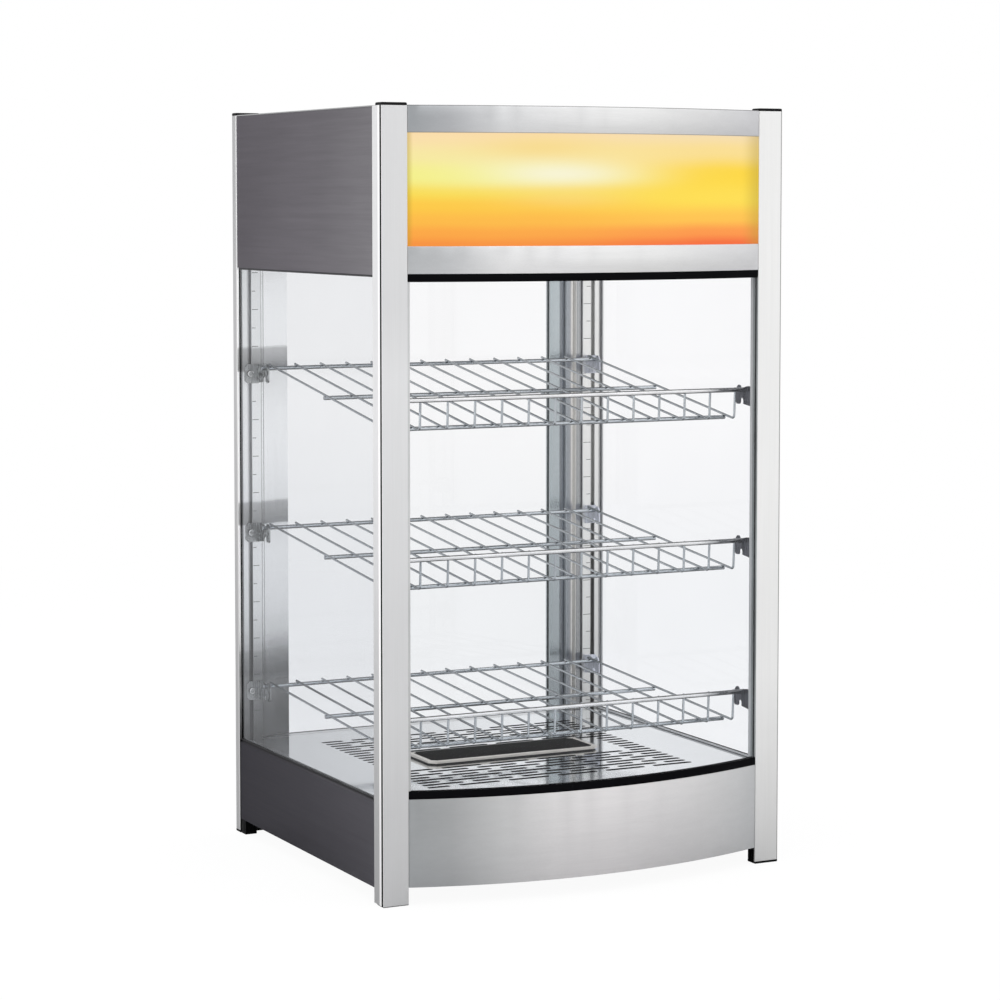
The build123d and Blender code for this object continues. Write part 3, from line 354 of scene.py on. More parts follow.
# Painted reflection across the front bottom panel: darker towards both ends, darkest on the left.
def low_front_shade(g, co, xyz, normal):
    return g.ramp(g.span(xyz[0], -0.2035, 0.2035, smooth=False),
                  [(0.0, (0.42, 0.435, 0.445)), (0.10, (0.46, 0.470, 0.478)), (0.228, (0.635, 0.638, 0.642)), (0.363, (0.75, 0.738, 0.743)),
                   (0.506, (0.765, 0.750, 0.755)), (0.656, (0.715, 0.704, 0.710)), (0.81, (0.67, 0.665, 0.67)), (1.0, (0.58, 0.59, 0.60))])


# Painted reflection along the side top panels: darker towards the rear, lighter towards the front.
def side_top_shade(g, co, xyz, normal):
    f = g.span(xyz[1], 0.20, -0.165, smooth=False)
    return g.ramp(f, [(0.0, (0.150, 0.143, 0.156)), (0.5, (0.199, 0.190, 0.206)), (1.0, (0.277, 0.270, 0.284))])


# Painted reflection along the side bottom panels: darker towards the rear, with a painted highlight on the rolled top
# edge.
def side_low_shade(g, co, xyz, normal):
    f = g.span(xyz[1], 0.20, -0.165, smooth=False)
    body = g.ramp(f, [(0.0, (0.0250, 0.0243, 0.0285)), (0.5, (0.0520, 0.0505, 0.0570)), (1.0, (0.0970, 0.0945, 0.1050))])
    roll = g.scaled((0.105, 0.103, 0.112), g.span(f, 0.0, 0.9, 0.45, 1.0))
    return g.mix(g.span(xyz[2], 0.1028, 0.1034), body, roll)


MAT["strip"] = brushed("front_strip_steel", None, "X", rough=0.42, fine=0.04, broad=0.02, bump=0.03, aniso=0.3, shade=strip_shade)
MAT["low_front"] = brushed("front_panel_steel", None, "X", rough=0.44, fine=0.04, broad=0.02, bump=0.03, aniso=0.3, shade=low_front_shade)
MAT["side_top"] = brushed("side_top_steel", None, "Y", rough=0.38, fine=0.07, broad=0.07, bump=0.04, aniso=0.3, shade=side_top_shade, edge_tint=(0.97, 0.93, 1.0))
MAT["side_low"] = brushed("side_low_steel", None, "Y", rough=0.38, fine=0.07, broad=0.06, bump=0.04, aniso=0.3, shade=side_low_shade, edge_tint=(0.76, 0.75, 0.79))
MAT["roof"] = brushed("roof_steel", (0.66, 0.665, 0.675), "X", rough=0.30, fine=0.08, broad=0.04)


def deck_shade(g, co, xyz, normal):
    """Bright sheet on top with a painted shadow round each punched slot, painted shade inside the punched slots and
    below.
    """
    n = g.add("ShaderNodeSeparateXYZ", inputs={0: normal}).outputs
    row = g.math("MULTIPLY_ADD", xyz[1], 1.0 / 0.01266, 0.1335 / 0.01266)
    near = g.math("ROUND", row)
    dy = g.math("MULTIPLY", g.math("SUBTRACT", row, near), 12.66)
    odd = g.math("FLOORED_MODULO", near, 2.0)
    even = g.math("SUBTRACT", 1.0, odd)
    step = g.math("FRACT", g.math("ADD", g.math("MULTIPLY_ADD", xyz[0], 1.0 / 0.0576, 120.15 / 57.6 + 8.0), g.math("MULTIPLY", odd, 36.1 / 57.6)))
    ax = g.math("ABSOLUTE", xyz[0])
    long_x = g.math("SUBTRACT", g.math("ABSOLUTE", g.math("MULTIPLY_ADD", step, 57.6, -23.3)), 20.1)
    short_x = g.math("SUBTRACT", g.math("ABSOLUTE", g.math("MULTIPLY_ADD", ax, 1000.0, -143.7)), 9.35)
    beside_tray = g.both(g.above(xyz[1], -0.0380), g.below(xyz[1], 0.0375))
    ends = g.math("MAXIMUM", g.both(odd, g.above(xyz[0], 0.1259)), g.both(even, g.below(xyz[0], -0.1256)))
    short = g.math("MAXIMUM", beside_tray, ends)
    dx = g.math("ADD", g.math("MULTIPLY", short, short_x), g.math("MULTIPLY", g.math("SUBTRACT", 1.0, short), long_x))
    dx = g.math("MAXIMUM", dx, 0.0)
    away = g.math("SQRT", g.math("ADD", g.math("MULTIPLY", dx, dx), g.math("MULTIPLY", dy, dy)))
    field = g.both(g.above(xyz[1], -0.1392), g.below(xyz[1], 0.1508), g.below(ax, 0.1620))
    # painted shadow ring round each slot
    rim = g.math("MULTIPLY", field, g.span(away, 3.35, 4.25, 0.80, 0.0))
    top = g.scaled((0.82, 0.835, 0.85), g.math("SUBTRACT", 1.0, rim))
    # painted shade: near black on the slot walls and the underside
    return g.mix(g.span(n[2], 0.3, 0.6), (0.006, 0.006, 0.0065), top)


def pan_shade(g, co, xyz, normal):
    """Galvanised sheet with painted shade: its upward and side faces, which lie inside the base, are near black;
    downward faces keep the grey.
    """
    n = g.add("ShaderNodeSeparateXYZ", inputs={0: normal}).outputs
    return g.mix(g.span(n[2], -0.3, 0.2), (0.42, 0.43, 0.44), (0.016, 0.016, 0.017))


MAT["deck"] = brushed("deck_steel", None, "X", rough=0.08, fine=0.02, broad=0.02, bump=0.02, aniso=0.2, shade=deck_shade)
MAT["pan"] = brushed("galvanised_sheet", None, "X", rough=0.50, fine=0.06, broad=0.14, aniso=0.0, shade=pan_shade)
MAT["zinc"] = brushed("zinc_plated_steel", (0.62, 0.63, 0.64), "X", rough=0.28, fine=0.05, broad=0.06, aniso=0.0)
def screw_shade(g, co, xyz, normal):
    """Painted highlight on the dome and painted shade on its rim, by which way the faces point."""
    n = g.add("ShaderNodeSeparateXYZ", inputs={0: normal}).outputs
    return g.mix(g.span(g.math("ABSOLUTE", n[1]), 0.45, 0.85), (0.10, 0.10, 0.105), (0.93, 0.93, 0.92))


MAT["screw"] = brushed("nickel_plated_screws", None, "X", rough=0.20, fine=0.05, broad=0.06, aniso=0.0, shade=screw_shade)


def clip_shade(g, co, xyz, normal):
    """Plated pressings with painted light: the front ones in painted shade, the rear right ones painted brighter, the
    rear left ones with painted dark outlines and faces toned by which way they point.
    """
    n = g.add("ShaderNodeSeparateXYZ", inputs={0: normal}).outputs
    flat = g.span(g.math("MAXIMUM", g.math("ABSOLUTE", n[0]), g.math("MAXIMUM", g.math("ABSOLUTE", n[1]), g.math("ABSOLUTE", n[2]))), 0.90, 0.98)
    left = g.mix(flat, (0.10, 0.105, 0.11), g.mix(g.above(g.math("ABSOLUTE", n[1]), 0.5), g.scaled((0.34, 0.35, 0.35), g.span(g.noise(co, 220.0), 0.38, 0.62, 0.22, 1.65)), (0.56, 0.57, 0.57)))
    rear = g.mix(g.above(xyz[0], 0.0), left, (0.72, 0.745, 0.83))
    return g.mix(g.above(xyz[1], 0.0), (0.125, 0.128, 0.15), rear)


def clip_metal(g, co, xyz, normal):
    return g.math("MULTIPLY_ADD", g.both(g.above(xyz[1], 0.0), g.above(xyz[0], 0.0)), -0.65, 1.0)


MAT["clip"] = brushed("clip_steel", None, "Z", rough=0.27, fine=0.10, broad=0.14, bump=0.12, aniso=0.2, shade=clip_shade, metal_by=clip_metal)


def wire_shade(g, co, xyz, normal):
    """Plated wire with painted reflections: a painted white highlight along the front rod between painted dark edges,
    darkened towards its right end, and greyer wires behind it painted lighter and darker by which way the surface
    faces.
    """
    n = g.add("ShaderNodeSeparateXYZ", inputs={0: normal}).outputs
    front = g.span(xyz[1], -0.1478, -0.1490)
    rod = g.below(g.math("ABSOLUTE", n[0]), 0.02)
    up = g.ramp(g.span(n[2], -1.0, 1.0, smooth=False),
                [(0.0, 0.10), (0.16, 0.16), (0.27, 0.90), (0.74, 0.98), (0.86, 0.30), (1.0, 0.12)])
    bright = g.scaled((0.97, 0.97, 0.975), up)
    bright = g.mix(g.span(xyz[0], 0.150, 0.190, 0.0, 0.8), bright, (0.16, 0.165, 0.18))
    grey = g.ramp(g.span(n[2], -1.0, 1.0, smooth=False), [(0.0, 0.14), (0.18, 0.24), (0.40, 0.72), (0.62, 0.80), (0.80, 0.56), (0.93, 0.26), (1.0, 0.18)])
    dull = g.scaled((0.81, 0.86, 0.905), grey)
    return g.mix(g.both(front, rod), dull, bright)


def chrome(name, shade):
    m, g, out, co, xyz, normal = new_material(name)
    speck = g.noise(co, 420.0, 3.0, 0.6)
    cloud = g.noise(co, 30.0, 2.0, 0.5)
    base = tinted(g, shade(g, co, xyz, normal), g.span(cloud, 0.3, 0.7, smooth=False), 0.10)
    r = g.math("MULTIPLY_ADD", speck, 0.10, 0.08)
    b = g.add("ShaderNodeBump", inputs={"Height": speck, "Strength": 0.06, "Distance": 0.0001})
    principled(g, out, **{"Base Color": base, "Metallic": 1.0, "Roughness": r, "Normal": b})
    return m


MAT["wire"] = chrome("shelf_chrome", wire_shade)

# ---------------------------------------------------------------- plastics and rubber
MAT["seal"] = moulded("black_seal", (0.0035, 0.0035, 0.0045), rough=0.40, grain=700.0, bump=0.06, spec=0.02)


def side_seal_shade(g, co, xyz, normal):
    """Glazing seal with painted light: the uprights are painted pale on their legs, the left ones under the chamber's
    painted shade bands, with a black web; along the bottom a dark outer lip and, on the right, a pale inner lip painted
    as light.
    """
    ax = g.math("ABSOLUTE", xyz[0])
    upright = g.math("MAXIMUM", g.above(xyz[1], 0.2014), g.below(xyz[1], -0.1735))
    right = g.above(xyz[0], 0.0)
    leg = g.mix(g.above(ax, 0.2300), g.mix(g.below(ax, 0.22640), (0.012, 0.013, 0.014), (0.80, 0.81, 0.81)), (0.96, 0.96, 0.965))
    stand_l = g.scaled(leg, chamber_painted_shade(g, co, xyz))
    stand_r = g.mix(g.below(ax, 0.2264), (0.62, 0.63, 0.64), (0.70, 0.70, 0.70))
    stand = g.mix(right, stand_l, stand_r)
    lip_l = g.mix(g.above(ax, 0.2290), (0.12, 0.12, 0.125), (0.006, 0.006, 0.007))
    lip_r = g.mix(g.below(ax, 0.2264), (0.05, 0.05, 0.052), (0.66, 0.67, 0.68))
    lying = g.mix(right, lip_l, lip_r)
    top = g.above(xyz[2], 0.60)
    lying = g.mix(top, lying, (0.05, 0.05, 0.055))
    return g.mix(upright, lying, stand)


def gasket_shade(g, co, xyz, normal):
    """Upright gaskets with painted reflections: on the right, darker streaked grey at the front, lighter behind and a
    painted shade line in the corner; on the left, grey with painted shade towards the bottom.
    """
    right = g.above(xyz[0], 0.0)
    streak = g.noise(co, 8.0, 3.0, 0.6, (1, 1, 0.6), (5.0, 2.0, 0.0))
    corner = g.both(g.below(xyz[0], 0.2023), g.below(xyz[1], -0.1873))
    body = g.mix(g.span(xyz[1], -0.1842, -0.1826), g.scaled((0.27, 0.29, 0.295), g.span(streak, 0.3, 0.7, 0.55, 1.25)), (0.58, 0.59, 0.60))
    r = g.mix(corner, body, (0.015, 0.017, 0.018))
    left = g.scaled((0.62, 0.625, 0.63), g.span(xyz[2], 0.10, 0.45, 0.75, 1.0))
    return g.mix(right, left, r)


MAT["side_seal"] = moulded("glazing_seal", None, rough=0.42, grain=700.0, bump=0.05, spec=0.15, shade=side_seal_shade)
MAT["gasket"] = moulded("upright_gasket", None, rough=0.36, grain=700.0, bump=0.05, spec=0.25, shade=gasket_shade)
MAT["black"] = moulded("black_plastic", (0.012, 0.012, 0.013), rough=0.46, grain=1100.0, bump=0.16)
MAT["cap"] = moulded("cap_plastic", (0.004, 0.004, 0.0045), rough=0.5, grain=1100.0, bump=0.10, spec=0.15)
MAT["foot"] = moulded("foot_plastic", (0.0035, 0.0035, 0.004), rough=0.45, grain=1100.0, bump=0.10, spec=0.08)
MAT["gloss_black"] = moulded("gloss_black_plastic", (0.010, 0.010, 0.011), rough=0.20, grain=1100.0, bump=0.03, coat=0.3)
MAT["white"] = moulded("white_plastic", (0.74, 0.73, 0.69), rough=0.40)
MAT["ballast"] = moulded("ballast_enamel", (0.70, 0.70, 0.67), rough=0.32, grain=300.0, bump=0.05)


def element_shade(g, co, xyz, normal):
    heat = g.noise(co, 18.0, 3.0, 0.6)
    return g.ramp(heat, [(0.25, (0.05, 0.04, 0.032)), (0.5, (0.07, 0.065, 0.06)), (0.8, (0.055, 0.058, 0.07))])


MAT["element"] = brushed("element_sheath", None, "X", rough=0.42, fine=0.05, broad=0.05, aniso=0.0, shade=element_shade)


def glowing(name, colour, strength, rough, base):
    m, g, out, co, xyz, normal = new_material(name)
    cloud = g.noise(co, 12.0, 3.0, 0.5)
    c = tinted(g, colour, cloud, 0.06)
    r = g.math("MULTIPLY_ADD", cloud, 0.1, rough - 0.05)
    p = principled(g, out, **{"Base Color": base, "Roughness": r, "Emission Color": c})
    p.inputs["Emission Strength"].default_value = strength
    return m


MAT["lens"] = glowing("opal_lens", (1.0, 0.98, 0.93), 0.75, 0.35, (0.85, 0.85, 0.82))
MAT["tube"] = glowing("lamp_tube", (1.0, 0.97, 0.9), 1.6, 0.25, (0.9, 0.9, 0.88))
MAT["amber"] = glowing("amber_lens", (1.0, 0.32, 0.03), 0.55, 0.14, (0.55, 0.16, 0.02))
MAT["red_rocker"] = glowing("red_rocker", (0.9, 0.03, 0.01), 0.25, 0.22, (0.42, 0.012, 0.008))


# ---------------------------------------------------------------- lit sign: a plain warm fade
def sign_material():
    m, g, out, co, xyz, normal = new_material("sign_acrylic")
    u = g.span(xyz[0], -0.2035, 0.2035, smooth=False)
    v = g.span(xyz[2], 0.6636, 0.7763, smooth=False)
    drift = g.noise(co, 5.0, 2.0, 0.4, (1.0, 1.0, 2.6), (2.0, 0.0, 1.3))
    vv = g.math("ADD", v, g.math("MULTIPLY_ADD", drift, 0.10, -0.05), clamp=True)
    left = g.ramp(vv, [(0.0, srgb("#f58e3c")), (0.12, srgb("#faa642")), (0.22, srgb("#fbb945")), (0.36, srgb("#fbc844")), (0.48, srgb("#f8d84a")),
                       (0.62, srgb("#f3ec86")), (0.80, srgb("#f5e6a2")), (1.0, srgb("#f9dcab"))], "EASE")
    right = g.ramp(vv, [(0.0, srgb("#f46a36")), (0.11, srgb("#fb9644")), (0.24, srgb("#fdc24a")), (0.42, srgb("#fcdc4c")),
                        (0.66, srgb("#fbd536")), (0.84, srgb("#f8dc90")), (1.0, srgb("#f4dcb0"))], "EASE")
    colour = g.mix(g.span(u, 0.30, 0.82), left, right)

    def spot(cu, cv, ru, rv):
        du = g.math("DIVIDE", g.math("SUBTRACT", u, cu), ru)
        dv = g.math("DIVIDE", g.math("SUBTRACT", v, cv), rv)
        d = g.math("ADD", g.math("MULTIPLY", du, du), g.math("MULTIPLY", dv, dv))
        return g.math("EXPONENT", g.math("MULTIPLY", d, -1.0))

    colour = g.mix(g.math("MULTIPLY", spot(0.33, 0.86, 0.16, 0.12), 0.75), colour, srgb("#f5d586"))
    colour = g.mix(g.math("MULTIPLY", spot(0.62, 0.80, 0.30, 0.14), 0.35), colour, srgb("#f9dd8c"))
    colour = g.mix(g.math("MULTIPLY", spot(0.36, 0.64, 0.22, 0.115), 0.95), colour, srgb("#f6f2d8"))
    colour = g.mix(g.math("MULTIPLY", spot(0.40, 0.42, 0.16, 0.08), 0.35), colour, srgb("#f8dc8c"))
    colour = g.mix(g.math("MULTIPLY", spot(0.05, 0.62, 0.22, 0.13), 0.55), colour, srgb("#f2ef8a"))
    edge = g.math("MAXIMUM", g.span(u, 0.93, 1.0), g.span(u, 0.015, 0.0))
    colour = g.mix(g.math("MULTIPLY", edge, 0.46), colour, srgb("#b0962e"))
    p = principled(g, out, **{"Base Color": tinted(g, g.mix(0.80, colour, (0.0, 0.0, 0.0)), g.noise(co, 900.0), 0.04), "Emission Color": colour,
                              "Roughness": g.math("MULTIPLY_ADD", g.noise(co, 60.0), 0.06, 0.16)})
    p.inputs["Emission Strength"].default_value = 0.82
    p.inputs["Specular IOR Level"].default_value = 0.25
    return m


MAT["sign"] = sign_material()


# ---------------------------------------------------------------- glass
def glass(name, tint, low, gloss=1.0):
    m, g, out, co, xyz, normal = new_material(name)
    smear = g.noise(co, 9.0, 4.0, 0.6)
    # painted shade seen through the glass: darker towards the bottom
    tone = g.mix(g.span(xyz[2], 0.24, 0.52), low, tint)
    clear = g.add("ShaderNodeBsdfTransparent", inputs={"Color": tinted(g, tone, smear, 0.008)})
    shine = g.add("ShaderNodeBsdfGlossy", inputs={"Color": (0.95, 0.97, 1.0), "Roughness": g.math("MULTIPLY", g.span(smear, 0.4, 0.8), 0.05)})
    f = g.add("ShaderNodeFresnel", inputs={"IOR": 1.5})
    outer = g.math("SUBTRACT", 1.0, g.add("ShaderNodeNewGeometry").outputs["Backfacing"])
    mix = g.add("ShaderNodeMixShader", inputs={0: g.math("MULTIPLY", g.math("MULTIPLY", f, outer), gloss)})
    g.put(mix.inputs[1], clear)
    g.put(mix.inputs[2], shine)
    g.tree.links.new(mix.outputs[0], out.inputs["Surface"])
    return m


# Painted light and shade: the panes are one glass; the left side glass is tinted darker and the right side glass
# lighter and less glossy.
MAT["front_glass"] = glass("front_glass", (0.988, 0.988, 0.990), (0.955, 0.960, 0.966), 0.8)
MAT["side_glass"] = glass("side_glass", (0.944, 0.948, 0.955), (0.905, 0.912, 0.925), 0.8)
MAT["right_glass"] = glass("right_glass", (0.994, 0.994, 0.998), (0.990, 0.992, 0.998), 0.4)
MAT["door_glass"] = glass("door_glass", (0.988, 0.988, 0.990), (0.975, 0.978, 0.982), 0.8)


# ---------------------------------------------------------------- water tray: pale rim, dark well, painted shadow under the rim
def tray_material():
    m, g, out, co, xyz, normal = new_material("tray_enamel")
    ax = g.math("ABSOLUTE", g.math("ADD", xyz[0], 0.0010))
    ay = g.math("ABSOLUTE", g.math("SUBTRACT", xyz[1], 0.0030))
    inside = g.both(g.below(ax, 0.09790), g.below(ay, 0.02740), g.below(g.math("ADD", ax, ay), 0.12030), g.below(xyz[2], 0.1090))
    # painted shadow: dark below the rim and along the inner side of the far rim
    rim_painted_shadow = g.math("MAXIMUM", g.below(xyz[2], 0.10655), g.both(g.above(xyz[1], 0.0300), g.below(xyz[1], 0.0345), g.below(ax, 0.0985)))
    cloud = g.noise(co, 25.0, 4.0, 0.6)
    fine = g.noise(co, 700.0, 3.0, 0.6)
    rim = tinted(g, srgb("#ded9d2"), cloud, 0.07)
    dark_well_and_painted_shadow = tinted(g, (0.022, 0.021, 0.020), cloud, 0.3)
    base = g.mix(g.math("MAXIMUM", inside, rim_painted_shadow), rim, dark_well_and_painted_shadow)
    r = g.math("MULTIPLY_ADD", cloud, 0.12, 0.28)
    b = g.add("ShaderNodeBump", inputs={"Height": fine, "Strength": 0.08, "Distance": 0.0001})
    principled(g, out, **{"Base Color": base, "Roughness": r, "Normal": b, "Metallic": g.math("MULTIPLY", g.math("SUBTRACT", 1.0, inside), 0.25)})
    return m


MAT["tray"] = tray_material()

USES = {
    "post": ["post_front_left", "post_front_right", "post_rear_left", "post_rear_right"],
    "door": ["door_stiles", "door_rails", "rear_jambs"],
    "strip": ["top_trim_strip", "lower_trim_strip"],
    "low_front": ["front_bottom_panel"],
    "side_top": ["side_top_panel_left", "side_top_panel_right"],
    "side_low": ["side_bottom_panel_left", "side_bottom_panel_right"],
    "roof": ["roof_panel", "chamber_ceiling", "rear_top_panel", "rear_control_panel", "rear_sill"],
    "deck": ["deck_grille"],
    "pan": ["base_pan", "element_brackets"],
    "zinc": ["hinge_brackets", "rear_screws"],
    "screw": ["clip_screws_top", "clip_screws_middle", "clip_screws_bottom"],
    "clip": ["shelf_clips_top", "shelf_clips_middle", "shelf_clips_bottom"],
    "wire": ["shelf_top", "shelf_middle", "shelf_bottom"],
    "seal": ["front_glass_seals", "corner_strips", "door_gasket"],
    "side_seal": ["side_glass_seals"],
    "gasket": ["front_glass_gaskets"],
    "cap": ["post_caps"],
    "foot": ["feet"],
    "black": ["door_grip", "cord_gland", "thermostat_body", "thermostat_knob"],
    "gloss_black": ["switch_bezels", "light_rocker"],
    "red_rocker": ["power_rocker"],
    "white": ["lamp_holders", "terminal_block"],
    "ballast": ["lamp_ballast"],
    "element": ["heating_element"],
    "lens": ["ceiling_lens"],
    "tube": ["lamp_tube"],
    "amber": ["indicator_lamp"],
    "sign": ["sign_panel"],
    "front_glass": ["front_glass"],
    "side_glass": ["side_glass_left"],
    "right_glass": ["side_glass_right"],
    "door_glass": ["door_glass"],
    "tray": ["water_tray"],
}
for key, names in USES.items():
    for n in names:
        o = nodes[n]
        if not o.material_slots:
            o.data.materials.append(MAT[key])
        for s in o.material_slots:
            s.material = MAT[key]

# softened edges on the sheet, profile and moulded pieces
BEVELS = {
    0.00045: ["post_front_left", "post_front_right", "post_rear_left", "post_rear_right", "post_caps", "feet"],
    0.00035: ["door_stiles", "door_rails", "rear_jambs", "front_bottom_panel", "top_trim_strip", "lower_trim_strip",
              "side_top_panel_left", "side_top_panel_right", "side_bottom_panel_left", "side_bottom_panel_right",
              "rear_sill", "hinge_brackets"],
    0.0003: ["front_glass_seals", "front_glass_gaskets", "door_grip", "thermostat_knob", "switch_bezels",
             "power_rocker", "light_rocker", "water_tray", "shelf_clips_top", "shelf_clips_middle", "shelf_clips_bottom"],
}
for width, names in BEVELS.items():
    for n in names:
        o = nodes[n]
        w = o.modifiers.new("weld", "WELD")
        w.merge_threshold = 0.00001
        b = o.modifiers.new("edge", "BEVEL")
        b.width = width
        b.segments = 2
        b.limit_method = "ANGLE"
        b.angle_limit = math.radians(38)
        b.harden_normals = True


# ---------------------------------------------------------------- mesh helpers
def mesh_piece(name, bm, material, body):
    me = bpy.data.meshes.new(name)
    bm.to_mesh(me)
    bm.free()
    me.materials.append(material)
    o = bpy.data.objects.new(name, me)
    scene.collection.objects.link(o)
    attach(o, body)
    return o


def bm_block(bm, lo, hi):
    v = [bm.verts.new((x, y, z)) for x in (lo[0], hi[0]) for y in (lo[1], hi[1]) for z in (lo[2], hi[2])]
    for f in ((0, 1, 3, 2), (4, 6, 7, 5), (0, 4, 5, 1), (2, 3, 7, 6), (0, 2, 6, 4), (1, 5, 7, 3)):
        bm.faces.new([v[i] for i in f])


# height marks printed beside the posts' T-slots
MAT["mark"] = moulded("mark_ink", (0.06, 0.065, 0.07), rough=0.5)
front_face, rear_face = -0.1745, 0.2025
bm = bmesh.new()
for sx in (-1.0, 1.0):
    for y0, y1 in ((front_face, front_face + 0.00006), (rear_face - 0.00006, rear_face)):
        for k in range(26):
            z = 0.1165 + 0.0205 * k
            long = (0.0072 if k % 2 else 0.0042) * (1.3 if sx > 0 else 1.0)
            a, b = 0.2143, 0.2143 - long
            bm_block(bm, (min(sx * a, sx * b), y0, z - 0.00030), (max(sx * a, sx * b), y1, z + 0.00030))
mesh_piece("height_marks", bm, MAT["mark"], "case")

# welds where the shelf wires cross the rods, and rounded wire and rod ends
def bm_blob(bm, at, radii, rings=5, steps=10):
    """Ellipsoid of a few rings."""
    top = bm.verts.new((at[0], at[1], at[2] + radii[2]))
    low = bm.verts.new((at[0], at[1], at[2] - radii[2]))
    loops = []
    for i in range(1, rings):
        a = math.pi * i / rings
        loops.append([bm.verts.new((at[0] + radii[0] * math.sin(a) * math.cos(2 * math.pi * k / steps),
                                    at[1] + radii[1] * math.sin(a) * math.sin(2 * math.pi * k / steps),
                                    at[2] + radii[2] * math.cos(a))) for k in range(steps)])
    for k in range(steps):
        j = (k + 1) % steps
        bm.faces.new((top, loops[0][k], loops[0][j]))
        bm.faces.new((low, loops[-1][j], loops[-1][k]))
        for a, b in zip(loops, loops[1:]):
            bm.faces.new((a[k], b[k], b[j], a[j]))
    for f in bm.faces:
        f.smooth = True


MAT["weld"] = chrome("weld_metal", lambda g, co, xyz, normal: (0.50, 0.515, 0.54))
for level, rear_z, front_z in (("top", 0.5235, 0.507), ("middle", 0.3455, 0.3445), ("bottom", 0.167, 0.1805)):
    bend_y, bend_z = -0.1458, front_z - 0.0312
    slope = (rear_z + 0.00225 + 0.00125 - 0.0003 - bend_z) / (0.180 - bend_y)
    bm = bmesh.new()
    for k in range(14):
        x = (k - 6.5) * 0.031
        for y in (0.180, 0.0265, -0.124):
            wire = bend_z + slope * (y - bend_y)
            bm_blob(bm, (x, y, wire - 0.0009), (0.00175, 0.0019, 0.00105))
        bm_blob(bm, (x, -0.1486, front_z), (0.00175, 0.00075, 0.0019))
        bm_blob(bm, (x, 0.1838, bend_z + slope * (0.1838 - bend_y)), (0.00118, 0.0010, 0.00118))
        bm_blob(bm, (x, -0.14755, front_z + 0.0016), (0.00118, 0.00118, 0.0010))
    for y, z, r, half in ((0.180, rear_z, 0.00225, 0.212), (0.0265, bend_z + slope * (0.0265 - bend_y) - 0.0032, 0.00225, 0.2025),
                          (-0.124, bend_z + slope * (-0.124 - bend_y) - 0.0032, 0.00225, 0.2025), (-0.151, front_z, 0.0025, 0.212)):
        for sx in (-1.0, 1.0):
            bm_blob(bm, (sx * half, y, z), (0.0006, r * 0.95, r * 0.95))
    mesh_piece("welds_" + level, bm, MAT["weld"], "shelf_" + level)


# printed scale of the thermostat: strokes on the rear panel, seen from behind
def bm_stroke(bm, a, b, width, y0, y1):
    """Flat bar between two points of the rear panel, each (right, up) as seen from behind."""
    d = Vector((b[0] - a[0], b[1] - a[1]))
    side = Vector((-d.y, d.x)).normalized() * (width / 2)
    ring = [(a[0] + side.x, a[1] + side.y), (a[0] - side.x, a[1] - side.y), (b[0] - side.x, b[1] - side.y), (b[0] + side.x, b[1] + side.y)]
    low = [bm.verts.new((-u, y0, v)) for u, v in ring]
    high = [bm.verts.new((-u, y1, v)) for u, v in ring]
    bm.faces.new(low)
    bm.faces.new(high[::-1])
    for k in range(4):
        j = (k + 1) % 4
        bm.faces.new((low[k], high[k], high[j], low[j]))


DIGITS = {
    "0": [(0, 0, 1, 0), (1, 0, 1, 2), (1, 2, 0, 2), (0, 2, 0, 0)],
    "3": [(0, 0, 1, 0), (1, 0, 1, 2), (1, 2, 0, 2), (0.25, 1, 1, 1)],
    "6": [(0, 0, 1, 0), (1, 0, 1, 1), (1, 1, 0, 1), (0, 0, 0, 2), (0, 2, 1, 2)],
    "9": [(0, 0, 1, 0), (1, 0, 1, 2), (1, 2, 0, 2), (0, 2, 0, 1), (0, 1, 1, 1)],
}
MAT["print"] = moulded("printed_ink", (0.02, 0.02, 0.022), rough=0.45)
MAT["light_print"] = moulded("light_ink", (0.80, 0.80, 0.78), rough=0.45)
panel_y, knob_u, knob_v = 0.2015, 0.070, 0.048
for o in (nodes["rear_control_panel"],):
    panel_y = max((o.matrix_world @ Vector(c)).y for c in o.bound_box)
bm = bmesh.new()
for k in range(19):
    a = math.radians(225.0 - 15.0 * k)
    r0, r1 = 0.0215, 0.0243 if k % 6 == 0 else (0.0234 if k % 3 == 0 else 0.0228)
    bm_stroke(bm, (knob_u + r0 * math.cos(a), knob_v + r0 * math.sin(a)), (knob_u + r1 * math.cos(a), knob_v + r1 * math.sin(a)),
              0.00045, panel_y - 0.00002, panel_y + 0.00005)
for word, degrees in (("0", 225.0), ("30", 135.0), ("60", 45.0), ("90", -45.0)):
    a = math.radians(degrees)
    size, gap = 0.00135, 0.0009
    wide = len(word) * size + (len(word) - 1) * gap
    u0, v0 = knob_u + 0.0275 * math.cos(a) - wide / 2, knob_v + 0.0275 * math.sin(a) - size
    for letter in word:
        for x0, y0, x1, y1 in DIGITS[letter]:
            bm_stroke(bm, (u0 + x0 * size, v0 + y0 * size), (u0 + x1 * size, v0 + y1 * size), 0.00036, panel_y - 0.00002, panel_y + 0.00005)
        u0 += size + gap
mesh_piece("thermostat_scale", bm, MAT["print"], "case")
bm = bmesh.new()
a = math.radians(225.0)
bm_stroke(bm, (knob_u + 0.005 * math.cos(a), knob_v + 0.005 * math.sin(a)), (knob_u + 0.0135 * math.cos(a), knob_v + 0.0135 * math.sin(a)),
          0.0011, 0.22198, 0.22206)
mesh_piece("knob_pointer", bm, MAT["light_print"], "thermostat_knob")

